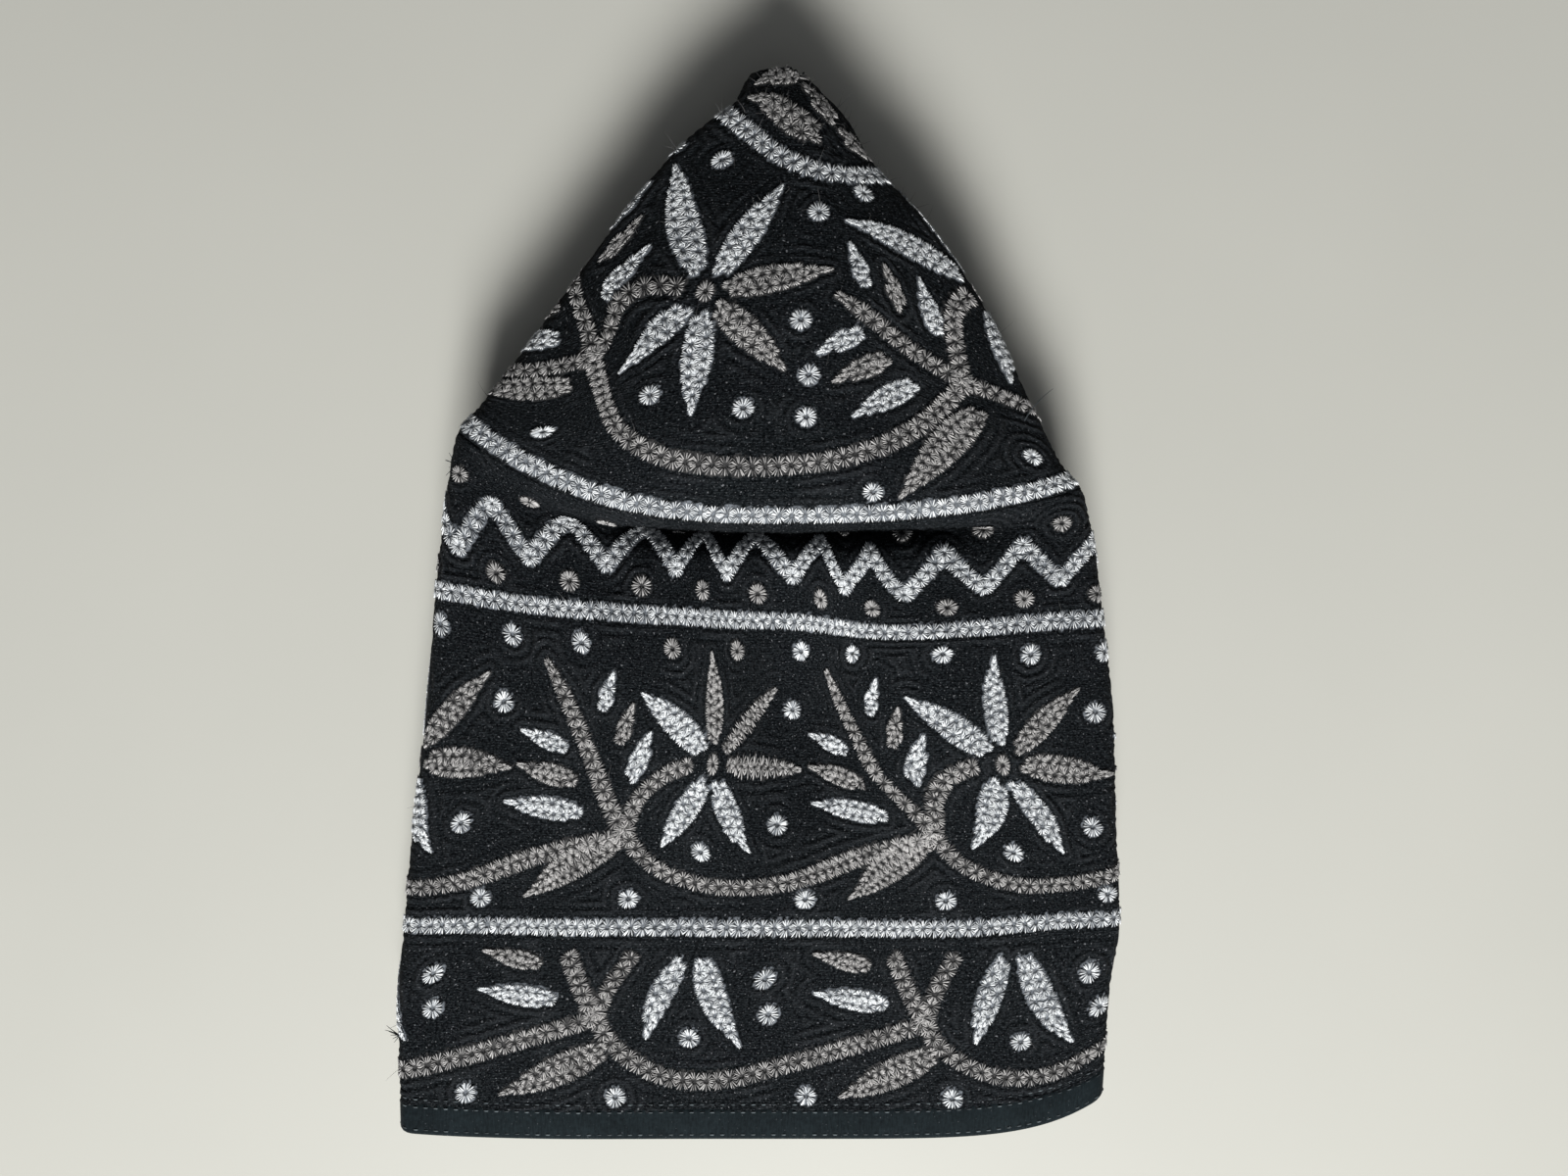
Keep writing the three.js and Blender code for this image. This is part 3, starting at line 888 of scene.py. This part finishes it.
def quilted_cotton(name):
    """Black cotton with a fine twill, cord ridges with a painted sheen in patches, thread-coloured pads and
    a little lint.
    """
    material, maker = new_material(name, (0.010, 0.012, 0.014, 1), 0.85, 0.010, 0.5, 0.02)
    place = maker.node("ShaderNodeUVMap", {"uv_map": "cloth"}, {})
    echo = maker.stored("echo")
    up = maker.node("ShaderNodeSeparateXYZ", {}, {"Vector": place}, 1)
    squeezed = maker.node("ShaderNodeMapping", {}, {"Vector": place, "Scale": (0.55, 1.0, 1.0)})
    fuzz = maker.noise(place, 1.7, 5.0)
    patch = maker.noise(place, 0.07, 3.0)
    cord = ((echo - CORD_START[0]) * (2 * math.pi / CORD_PITCH)).cosine()
    ridge = (0.5 - 0.5 * cord) * echo.between(*CORD_START)
    drawn = patch.between(0.42, 0.62)
    row = ((up + patch * 2.0) * (2 * math.pi / ROW_PITCH)).cosine()
    stitch = (row * 0.5 + 0.5) * maker.noise(squeezed, 2.6, 2.0).between(0.46, 0.66)
    lint = maker.noise(place, 3.0, 2.0).between(0.60, 0.72)
    crumb = maker.noise(place, 1.5, 1.0).between(0.69, 0.74)
    black = (fuzz * 1.3 + stitch * 0.75 - 0.52).clamped().mixed(*COTTON_BLACK)
    # Painted sheen: the cord ridges are lightened in patches, in place of light caught on the raised cords.
    wear_and_sheen = (ridge * 0.40 * drawn * fuzz).mixed(black, COTTON_CORD_SHEEN)
    specked = (lint * 0.17 + crumb * 0.38).clamped().mixed(wear_and_sheen, COTTON_LINT)
    covered = (1 - echo.between(0.2, 0.5)) * fuzz.between(0.20, 0.50)
    covered.mixed(specked, maker.stored("thread").mixed(*UNDER_THREAD)).feeds("Base Color")
    (ridge * drawn * 0.45 + stitch * 0.10 + fuzz * 0.30).bumps(0.9, 0.001)
    return material


HEM_OVERLAP = 0.6
RIM_GAP = 0.1
BAND_COUNTS = (215, 79, 48)
BAND_COLUMNS = (287, 229, 226)
cotton = quilted_cotton("quilted cotton")
band_rows = [np.linspace(HEM_HEIGHT - HEM_OVERLAP, BAND_HEIGHT - RIM_GAP, count) for count in BAND_COUNTS]
band_shares = spread_shares(FINE_SHARE, *BAND_COLUMNS)
band_wall = cloth_wall("side_band_cloth", band_rows, band_shares, band_pattern, band_search)
side_band = to_object(band_wall, cotton)
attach(side_band, "root")
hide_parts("side_band")

# The crown: a disc of the same quilted cotton, sewn to the band's upper rim and pinched up at
# its middle. Five repeats of the flower lie round a rosette, between two white sewn rings.
CROWN_REPEATS = 5
CROWN_FLOWER_TURN = -20.4
# Leaves of one repeat in the flat disc: thread, blunt end and pointed end as radius and degrees
# from the flower, half width.
CROWN_LEAVES = [
    (WHITE, 44.4, -3.4, 30.6, -33, 2.6),
    (WHITE, 43.6, 1.2, 23.6, 11.2, 2.6),
    (GREY, 45.9, 3.9, 40.2, 29.2, 2.6),
    (GREY, 48.8, 3.4, 59.5, 19.6, 2.6),
    (WHITE, 50.6, 1, 69.4, 7, 2.6),
    (WHITE, 50.4, -1.8, 64.4, -9, 2.6),
    (WHITE, 52.3, -36.4, 56.4, -45.8, 1.7),
    (GREY, 57.6, -31.8, 61.9, -42.8, 1.9),
    (WHITE, 63, -27.4, 68.8, -39.8, 2.1),
    (WHITE, 44.4, -33.4, 35.6, -34.9, 1.6),
    (GREY, 48.8, -25.8, 40.6, -26.2, 1.6),
    (WHITE, 54.3, -19.4, 43.8, -17.2, 1.8),
    (GREY, 70, -18, 85.6, -35.4, 3),
]
CROWN_STEMS = [
    (1.9, 0, [(47.4, -5), (50, -12.8), (57, -17), (64, -18.4)]),
    (2, 0, [(64, -18.4), (71.4, -8), (76.8, -0.6), (79, 8.3), (78.4, 21.5), (76.2, 32.6),
           (71.4, 43.1), (64, 53.6)]),
    (2, 9, [(64, -18.4), (54.6, -28.6), (45.2, -41.8)]),
]
CROWN_DOT = (1.75, 1.75)
CROWN_DOTS = [
    (GREY, 47, 0, 1.5, 1.9),
    (WHITE, 24.2, -21.9),
    (WHITE, 28.2, 27.9),
    (WHITE, 50.2, 22.2),
    (WHITE, 60.8, 24.4),
    (WHITE, 69, 24.5),
    (WHITE, 67.6, 14.6),
    (WHITE, 67.7, -0.4),
    (WHITE, 81.6, -14.5),
    (WHITE, 84.3, 33),
]
# The large sewn ring's radius, and the places of the small one, which is sewn far from round.
LARGE_RING = 89.0
SMALL_RING = [(-16.4, 7.6), (-12.4, 12), (-6.8, 15.6), (-1, 18), (4.4, 19.2), (10, 17.6),
              (13.8, 14.5), (16.4, 10.8), (18.2, 4), (17, -6), (10, -14), (0, -17),
              (-10, -14.5), (-17, -7), (-19, 1)]
# The grey leaves inside the small ring, in the flat disc: blunt end, pointed end, half width.
ROSETTE = [
    (3.8, 12.9, -11.2, 5.6, 2.6),
    (6.2, 8.8, 1.4, 3.4, 1.9),
    (6.8, 10.2, 13.4, 9.4, 1.9),
    (1.6, 0.2, -9.2, 2.4, 2.2),
    (3, -3.4, 4.6, -12.6, 2.2),
    (6.6, -0.6, 13.4, -6.6, 2.2),
]


def flat_disc(radius, degrees):
    turn = math.radians(degrees)
    return radius * math.sin(turn), radius * math.cos(turn)


def crown_eyelets():
    """All eyelets of the crown, in the plane of the flat disc."""
    one = []
    for half_width, thin_end, places in CROWN_STEMS:
        line = through([flat_disc(*place) for place in places])
        one.append(eyelets_along(line, GREY, half_width, EYELET_PITCH, thin_end))
    for thread, r0, turn0, r1, turn1, half_width in CROWN_LEAVES:
        one.append(eyelets_in_leaf(thread, flat_disc(r0, turn0), flat_disc(r1, turn1), half_width))
    for thread, radius, degrees, *size in CROWN_DOTS:
        one.append(dot_eyelet(thread, *flat_disc(radius, degrees), *(size or CROWN_DOT)))
    one = np.concatenate(one)
    every = []
    is_dot = (one[:, 3] == 0) & (one[:, 4] == 1)
    for k in range(CROWN_REPEATS):
        turn = math.radians(CROWN_FLOWER_TURN + 360 / CROWN_REPEATS * k)
        spin = np.array([[math.cos(turn), -math.sin(turn)], [math.sin(turn), math.cos(turn)]])
        copy = one.copy()
        copy[:, 1:3] = one[:, 1:3] @ spin
        copy[:, 3:5] = np.where(is_dot[:, None], one[:, 3:5], one[:, 3:5] @ spin)
        every.append(copy)
    turn = np.linspace(-np.pi, np.pi, 361)
    large = LARGE_RING * np.stack([np.sin(turn), np.cos(turn)], axis=1)
    for line in (large, through(SMALL_RING, closed=True)):
        every.append(eyelets_along(line, WHITE, LINE_HALF_WIDTH))
    for x0, y0, x1, y1, half_width in ROSETTE:
        every.append(eyelets_in_leaf(GREY, (x0, y0), (x1, y1), half_width))
    return np.concatenate(every)


# How far the pattern has crept round on the crown's left side, in degrees, and the radii where
# that sets in, is full, fades and ends.
CROWN_SLIDES = [(-4.5, 20, 34, 50, 58), (3.9, 54, 62, 76, 86)]
CROWN_SIDE = {"starts": (22, 40), "ends": (70, 150)}


def crown_slide(turn, radius):
    """The creep round the crown at an angle of the flat disc, eased out all round."""
    degrees = np.degrees(turn)
    near = smooth(*CROWN_SIDE["starts"], -degrees) * (1 - smooth(*CROWN_SIDE["ends"], -degrees))
    slide = 0 * radius
    for most, start, full, fade, end in CROWN_SLIDES:
        slide = slide + most * smooth(start, full, radius) * (1 - smooth(fade, end, radius))
    return np.radians(slide) * near


def crown_share(x, y):
    """Height and share round the cloth for a place of the flat disc."""
    radius = np.hypot(x, y)
    m = BAND_HEIGHT + CROWN_RADIUS - radius
    turn = np.arctan2(x, y)
    run = (turn + crown_slide(turn, radius)) * radius
    return m, share_of(run, np.pi * radius, half_length(m, run))


def crown_pattern(m, share):
    """The place of the flat disc at a height and share round the cloth."""
    radius = BAND_HEIGHT + CROWN_RADIUS - m
    laid = run_of(share, np.pi * radius, half_length(m, share)) / radius
    turn = laid
    for _ in range(8):
        turn = laid - crown_slide(turn, radius)
    return radius * np.sin(turn), radius * np.cos(turn)


CROWN_FINE_SHARE = 0.46
CROWN_FOOT = BAND_HEIGHT + RIM_GAP
CROWN_TOP = 234.0
# The ends and counts of each stretch of rows: fine in two stretches, behind, and the lining.
CROWN_STRETCHES = [(CROWN_FOOT, 226.0, 126), (226.8, CROWN_TOP, 9), (CROWN_FOOT, CROWN_TOP, 52),
                   (CROWN_FOOT, CROWN_TOP, 36)]
CROWN_COLUMNS = (231, 120, 140)
TIP_WAY = np.array([0, 0.97, 0.24])
crown_marks = crown_eyelets()
foot, top, *crown_rows = [np.linspace(*stretch) for stretch in CROWN_STRETCHES]
crown_rows = [np.concatenate([foot, top]), *crown_rows]
crown_shares = spread_shares(CROWN_FINE_SHARE, *CROWN_COLUMNS)
tip = CHART[-1].mean(axis=0)
peak = (tip + TIP_WAY * GROUND_OUTWARD, tip - TIP_WAY * WALL_INWARD)
crown_wall = cloth_wall("crown_cloth", crown_rows, crown_shares, crown_pattern, flat_tree(crown_marks), peak)
crown = to_object(crown_wall, cotton)
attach(crown, "root")
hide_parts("crown")

# The hem strip: smooth black cotton turned over the band's open edge and held by rows of small
# running stitches, one near the free edge and two along its upper side.
HEM_ROUNDING = 1.1
HEM_BULGE = 1.15
HEM_FRONT_BULGE = 0.95
HEM_EDGE = 7.0
HEM_COLUMNS = (208, 270, 226)


def hem_profile():
    """Heights up the cloth and lifts over its middle, once round the strip's section."""
    turn = np.linspace(-np.pi / 2, np.pi / 2, 9)
    top = [(HEM_EDGE - HEM_ROUNDING + HEM_ROUNDING * math.cos(a), math.sin(a)) for a in turn]
    bottom = [(HEM_ROUNDING - HEM_ROUNDING * math.cos(a), -math.sin(a)) for a in turn]
    profile = np.array(top + bottom)
    profile[:, 1] *= np.where(profile[:, 1] > 0, HEM_FRONT_BULGE, HEM_BULGE)
    return profile


def hem_mesh():
    profile = hem_profile()
    shares = np.concatenate(spread_shares(FINE_SHARE, *HEM_COLUMNS)[:2])
    m, share = np.meshgrid(profile[:, 0], shares, indexing="ij")
    lift = np.repeat(profile[:, 1:], len(shares), axis=1)
    run = run_of(share, CIRCUMFERENCE / 2, half_length(m, share))
    around = np.repeat(travelled_along(profile)[:, None], len(shares), axis=1)
    wall = Wall()
    index = wall.add(lifted(m, share, lift), np.stack([run, around], axis=-1), m * 0 + FAR, m * 0)
    above = np.roll(index, -1, axis=0)
    beside = np.roll(index, -1, axis=1)
    corner = np.roll(above, -1, axis=1)
    wall.faces = np.stack([index, beside, corner, above], axis=-1).reshape(-1, 4).tolist()
    return wall.mesh("hem_band_cloth")


def hem_cotton(name):
    """Plain black cotton with a fine weave, paler in patches, and a little lint."""
    material, maker = new_material(name, (0.010, 0.013, 0.016, 1), 0.75, 0.015, 0.5, 0.04)
    place = maker.node("ShaderNodeUVMap", {"uv_map": "cloth"}, {})
    squeezed = maker.node("ShaderNodeMapping", {}, {"Vector": place, "Scale": (1.0, 0.2, 1.0)})
    weave = maker.noise(squeezed, 2.4, 2.0)
    fuzz = maker.noise(place, 1.2, 5.0)
    patch = maker.noise(place, 0.1, 3.0)
    lint = maker.noise(place, 2.2, 1.0).between(0.72, 0.77)
    mask = (fuzz * 0.5 + patch * 0.6 + weave * 0.8 - 0.5).clamped()
    black = mask.mixed((0.0015, 0.0026, 0.0034, 1), (0.015, 0.023, 0.027, 1))
    (lint * 0.3).mixed(black, (0.22, 0.23, 0.25, 1)).feeds("Base Color")
    (weave * 0.25 + fuzz * 0.2 + patch * 0.6).bumps(0.7, 0.001)
    return material


hem_band = to_object(hem_mesh(), hem_cotton("hem cotton"))
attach(hem_band, "root")
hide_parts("hem_band")

# The embroidery itself: stitches of white and of grey cotton, laid over the band's and the
# crown's motifs. Each stitch is one soft spindle of thread, sewn down at both its ends.
STITCH_LIFTS = (GROUND_OUTWARD + PAD_HEIGHT + 0.12, GROUND_OUTWARD + PAD_HEIGHT + 0.22)
FRONT_STITCHES = 18
BACK_STITCHES = 8
STITCH_WIDTH = 0.31
BACK_STITCH_WIDTH = 0.66


def spindle_tree():
    """Geometry Nodes that lay one spindle of thread on each point, along its own direction."""
    tree = bpy.data.node_groups.new("thread spindles", "GeometryNodeTree")
    for name, kind in (("Geometry", "Geometry"), ("Thread width", "Float"), ("Rings", "Int"),
                       ("Seed", "Int"), ("Thread", "Material")):
        tree.interface.new_socket(name, in_out="INPUT", socket_type="NodeSocket" + kind)
    tree.interface.new_socket("Geometry", in_out="OUTPUT", socket_type="NodeSocketGeometry")

    def add(kind, settings, inputs):
        """A node: its inputs are values, or a node and the output to take."""
        made = tree.nodes.new(kind)
        for name, value in settings.items():
            setattr(made, name, value)
        for name, value in inputs.items():
            if isinstance(value, tuple):
                tree.links.new(value[0].outputs[value[1]], made.inputs[name])
            else:
                made.inputs[name].default_value = value
        return made

    given = add("NodeGroupInput", {}, {})
    seed = (given, "Seed")
    along = add("GeometryNodeInputNamedAttribute", {"data_type": "FLOAT_VECTOR"}, {"Name": "along"})
    reach = add("GeometryNodeInputNamedAttribute", {"data_type": "FLOAT"}, {"Name": "reach"})
    turn = add("FunctionNodeAlignRotationToVector", {"axis": "Z"}, {"Vector": (along, 0)})
    uneven = add("FunctionNodeRandomValue", {}, {2: 0.75, 3: 1.25, "Seed": seed})
    width = add("ShaderNodeMath", {"operation": "MULTIPLY"}, {0: (given, "Thread width"), 1: (uneven, 1)})
    scale = add("ShaderNodeCombineXYZ", {}, {0: (width, 0), 1: (width, 0), 2: (reach, 0)})
    thread = add("GeometryNodeMeshUVSphere", {}, {"Segments": 3, "Rings": (given, "Rings"), "Radius": 0.5})
    place = add("GeometryNodeInputPosition", {}, {})
    parts = add("ShaderNodeSeparateXYZ", {}, {0: (place, 0)})
    # Each point's place along its spindle, from the inner end at the hole to the outer end, kept for the
    # thread's painted shade.
    marked = add("GeometryNodeStoreNamedAttribute", {"data_type": "FLOAT", "domain": "POINT"},
                 {"Geometry": (thread, 0), "Name": "outward", "Value": (parts, 2)})
    laid = add("GeometryNodeInstanceOnPoints", {}, {"Points": (given, "Geometry"), "Instance": (marked, 0),
                                                    "Rotation": (turn, 0), "Scale": (scale, 0)})
    shade = add("FunctionNodeRandomValue", {}, {2: 0.0, 3: 1.0, "Seed": seed})
    toned = add("GeometryNodeStoreNamedAttribute", {"data_type": "FLOAT", "domain": "INSTANCE"},
                {"Geometry": (laid, 0), "Name": "tone", "Value": (shade, 1)})
    real = add("GeometryNodeRealizeInstances", {}, {"Geometry": (toned, 0)})
    rounded = add("GeometryNodeSetShadeSmooth", {}, {"Geometry": (real, 0)})
    cotton = add("GeometryNodeSetMaterial", {}, {"Geometry": (rounded, 0), "Material": (given, "Thread")})
    add("NodeGroupOutput", {}, {"Geometry": (cotton, 0)})
    return tree


def cotton_thread(name, dark, light, glow):
    """Spun cotton: each stitch has its own tone, with fine fibre along and across it, and painted shade
    darkening its inner end towards the hole.
    """
    material, maker = new_material(name, light, 0.78, glow, 0.45, 0.3)
    place = maker.node("ShaderNodeTexCoord", {}, {}, 3)
    fibre = maker.noise(place, 2600.0, 3.0)
    wear_and_sheen = maker.noise(place, 90.0, 3.0)
    # Painted shade: the tone falls towards each stitch's inner end, where it dives into the dark hole.
    tone = maker.stored("tone") * 0.85 + fibre * 0.5 + wear_and_sheen * 0.45 + maker.stored("outward") * 0.6
    (tone - 0.34).clamped().mixed(dark, light).feeds("Base Color")
    fibre.bumps(0.5, 0.0002)
    return material


SPINDLES = spindle_tree()
# Each thread's darkest and lightest colour; the dark end is reached partly through the painted shade at the
# holes.
THREADS = {
    WHITE: cotton_thread("white thread", (0.20, 0.22, 0.245, 1), (0.90, 0.93, 0.95, 1), 0.08),
    GREY: cotton_thread("grey thread", (0.030, 0.030, 0.031, 1), (0.53, 0.522, 0.518, 1), 0.06),
}


def lay_spindles(name, starts, ends, width, rings, material, seed):
    """Spindles of thread from starts to ends, in millimetres, as one plain mesh."""
    mesh = bpy.data.meshes.new(name)
    mesh.from_pydata(((starts + ends) / 2 + ORIGIN_SHIFT) * MM, [], [])
    store(mesh, "along", "FLOAT_VECTOR", ends - starts)
    store(mesh, "reach", "FLOAT", (np.linalg.norm(ends - starts, axis=1) + width) * MM)
    stitched = put(name, mesh)
    modifier = stitched.modifiers.new("spindles", "NODES")
    modifier.node_group = SPINDLES
    values = {"Thread width": width * MM, "Rings": rings, "Seed": seed, "Thread": material}
    for socket in SPINDLES.interface.items_tree:
        if socket.in_out == "INPUT" and socket.name in values:
            modifier[socket.identifier] = values[socket.name]
    graph = bpy.context.evaluated_depsgraph_get()
    plain = bpy.data.meshes.new_from_object(stitched.evaluated_get(graph))
    stitched.modifiers.clear()
    plain.name = name
    stitched.data = plain
    return stitched


def embroider(part, marks, to_share, front_share, seed):
    """Lays one part's white and grey stitches: close and fine in front, plainer behind."""
    m, share = to_share(marks[:, 1], marks[:, 2])
    in_front = np.abs(share) < front_share
    for label, chosen, count, width, rings in (
        ("front", in_front, FRONT_STITCHES, STITCH_WIDTH, 3),
        ("folds", ~in_front, BACK_STITCHES, BACK_STITCH_WIDTH, 2),
    ):
        *flat_ends, thread = fan_of_stitches(marks[chosen], count, seed)
        starts, ends = (lifted(*to_share(*flat.T), lift) for flat, lift in zip(flat_ends, STITCH_LIFTS))
        for kind, word in ((WHITE, "white"), (GREY, "grey")):
            mine = thread == kind
            name = f"{part}_{word}_{label}"
            piece = lay_spindles(name, starts[mine], ends[mine], width, rings, THREADS[kind], seed)
            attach(piece, "root")


embroider("band", band_marks, band_share, FINE_SHARE, 11)
embroider("crown", crown_marks, crown_share, CROWN_FINE_SHARE, 12)

# The hem's running stitches: three rows of short dark stitches, pulled a little into the strip.
HEM_ROWS = [(1.4, 0.95), (6.1, 0.93), (7.7, 0.85)]
RUNNING_PITCH = 2.15
RUNNING_LENGTH = 0.75
RUNNING_WIDTH = 0.42
HEM_THREAD = cotton_thread("hem thread", (0.014, 0.019, 0.022, 1), (0.085, 0.105, 0.115, 1), 0.05)


def hem_stitches():
    starts = []
    ends = []
    count = round(CIRCUMFERENCE / RUNNING_PITCH)
    begin = (np.arange(count) / count - 0.5) * CIRCUMFERENCE
    for m, lift in HEM_ROWS:
        height = np.full(count, m)
        for run, found in ((begin, starts), (begin + RUNNING_LENGTH, ends)):
            share = share_of(run, CIRCUMFERENCE / 2, half_length(height, run))
            found.append(lifted(height, share, lift))
    return np.concatenate(starts), np.concatenate(ends)


running = lay_spindles("hem_running_stitches", *hem_stitches(), RUNNING_WIDTH, 3, HEM_THREAD, 5)
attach(running, "root")

# Loose fibres: fine hairs of cotton that stand off the embroidery, most of them at the peak,
# with a cut end of black thread at the crown's right seam and two frayed tufts on the left.
FIBRE_RADIUS = 0.055
FIBRE_STEPS = 6
FIBRES = {"peak": 280, "outline": 260, "band": 160}
FIBRE_LENGTHS = (1.0, 3.2)
FIBRE_SPREAD = {"place": 0.8, "up": 0.6, "way": 0.5, "curl": 0.35}
PEAK_REACH = 30
BAND_REACH = {"middle": 10, "half": 100}
FLOOR_CHECK = {"length": 3, "height": 0.3}
BLACK_TUFTS = [(-81.9, -95.3, 13.5), (-67.5, 25.5, 20.5)]
TUFT_HAIRS = 7
TUFT_WAY = np.array([-1.0, 0.1, 0.4])
TUFT_SPREAD = 0.6
TUFT_LENGTHS = (1.6, 3.4)
BLACK_END = {"place": (47.5, 56.0), "radius": 0.17, "way": (0.47, 0.87, 0.12), "length": 8.5,
             "curl": 0.15}


def hair_mesh(name, roots, ways, lengths, radius, random, curl):
    """Curved three-sided hairs that taper to a point."""
    points = []
    faces = []
    for root, way, length in zip(roots, ways, lengths):
        bend = random.normal(0, curl, 3)
        first = len(points)
        side = unit(np.cross(way, (0.3, 0.5, 0.8)))
        other = np.cross(way, side)
        for k in range(FIBRE_STEPS):
            f = k / (FIBRE_STEPS - 1)
            centre = root + length * (way * f + bend * f * f)
            for corner in range(3):
                angle = corner * 2 * math.pi / 3
                reach = radius * (1 - 0.7 * f)
                points.append(centre + reach * (side * math.cos(angle) + other * math.sin(angle)))
        for k in range(FIBRE_STEPS - 1):
            for corner in range(3):
                a = first + 3 * k + corner
                b = first + 3 * k + (corner + 1) % 3
                faces.append((a, b, b + 3, a + 3))
        faces.append((first + 2, first + 1, first))
        last = first + 3 * (FIBRE_STEPS - 1)
        faces.append((last, last + 1, last + 2))
    mesh = bpy.data.meshes.new(name)
    mesh.from_pydata((np.array(points) + ORIGIN_SHIFT) * MM, [], faces)
    mesh.polygons.foreach_set("use_smooth", np.ones(len(mesh.polygons), bool))
    return mesh


def fibre_roots(random):
    """Roots in the stitches, and the way each hair leaves the cloth."""
    chosen = []
    near_peak = np.hypot(crown_marks[:, 1], crown_marks[:, 2]) < PEAK_REACH
    in_front = np.abs(band_marks[:, 1] - BAND_REACH["middle"]) < BAND_REACH["half"]
    for marks, to_share, count in (
        (crown_marks[near_peak], crown_share, FIBRES["peak"]),
        (crown_marks, crown_share, FIBRES["outline"]),
        (band_marks[in_front], band_share, FIBRES["band"]),
    ):
        some = marks[random.integers(0, len(marks), count)]
        place = some[:, 1:3] + random.normal(0, FIBRE_SPREAD["place"], (count, 2))
        m, share = to_share(place[:, 0], place[:, 1])
        m = np.minimum(m, MAP_ROWS[-1])
        root = lifted(m, share, GROUND_OUTWARD + PAD_HEIGHT)
        normal = unit(root - lifted(m, share, 0.0))
        way = normal * FIBRE_SPREAD["up"] + random.normal(0, FIBRE_SPREAD["way"], (count, 3))
        chosen.append((root, unit(way)))
    roots, ways = (np.concatenate(part) for part in zip(*chosen))
    above = (roots + ways * FLOOR_CHECK["length"])[:, 2] > FLOOR_CHECK["height"]
    return roots[above], ways[above]


hair_random = np.random.default_rng(21)
hair_roots, hair_ways = fibre_roots(hair_random)
hair_lengths = hair_random.uniform(*FIBRE_LENGTHS, len(hair_roots))
fibres = to_object(hair_mesh("loose_fibres", hair_roots, hair_ways, hair_lengths, FIBRE_RADIUS,
                             hair_random, FIBRE_SPREAD["curl"]), THREADS[GREY])
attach(fibres, "root")

end_m, end_share = crown_share(*(np.array([v]) for v in BLACK_END["place"]))
end_roots = [lifted(end_m, end_share, GROUND_OUTWARD)[0]]
end_ways = [unit(np.array(BLACK_END["way"]))]
end_lengths = [BLACK_END["length"]]
for tuft in BLACK_TUFTS:
    for _ in range(TUFT_HAIRS):
        end_roots.append(np.array(tuft))
        end_ways.append(unit(TUFT_WAY + hair_random.normal(0, TUFT_SPREAD, 3)))
        end_lengths.append(hair_random.uniform(*TUFT_LENGTHS))
black_ends = to_object(hair_mesh("black_thread_ends", end_roots, end_ways, end_lengths,
                                 BLACK_END["radius"], hair_random, BLACK_END["curl"]), HEM_THREAD)
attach(black_ends, "root")
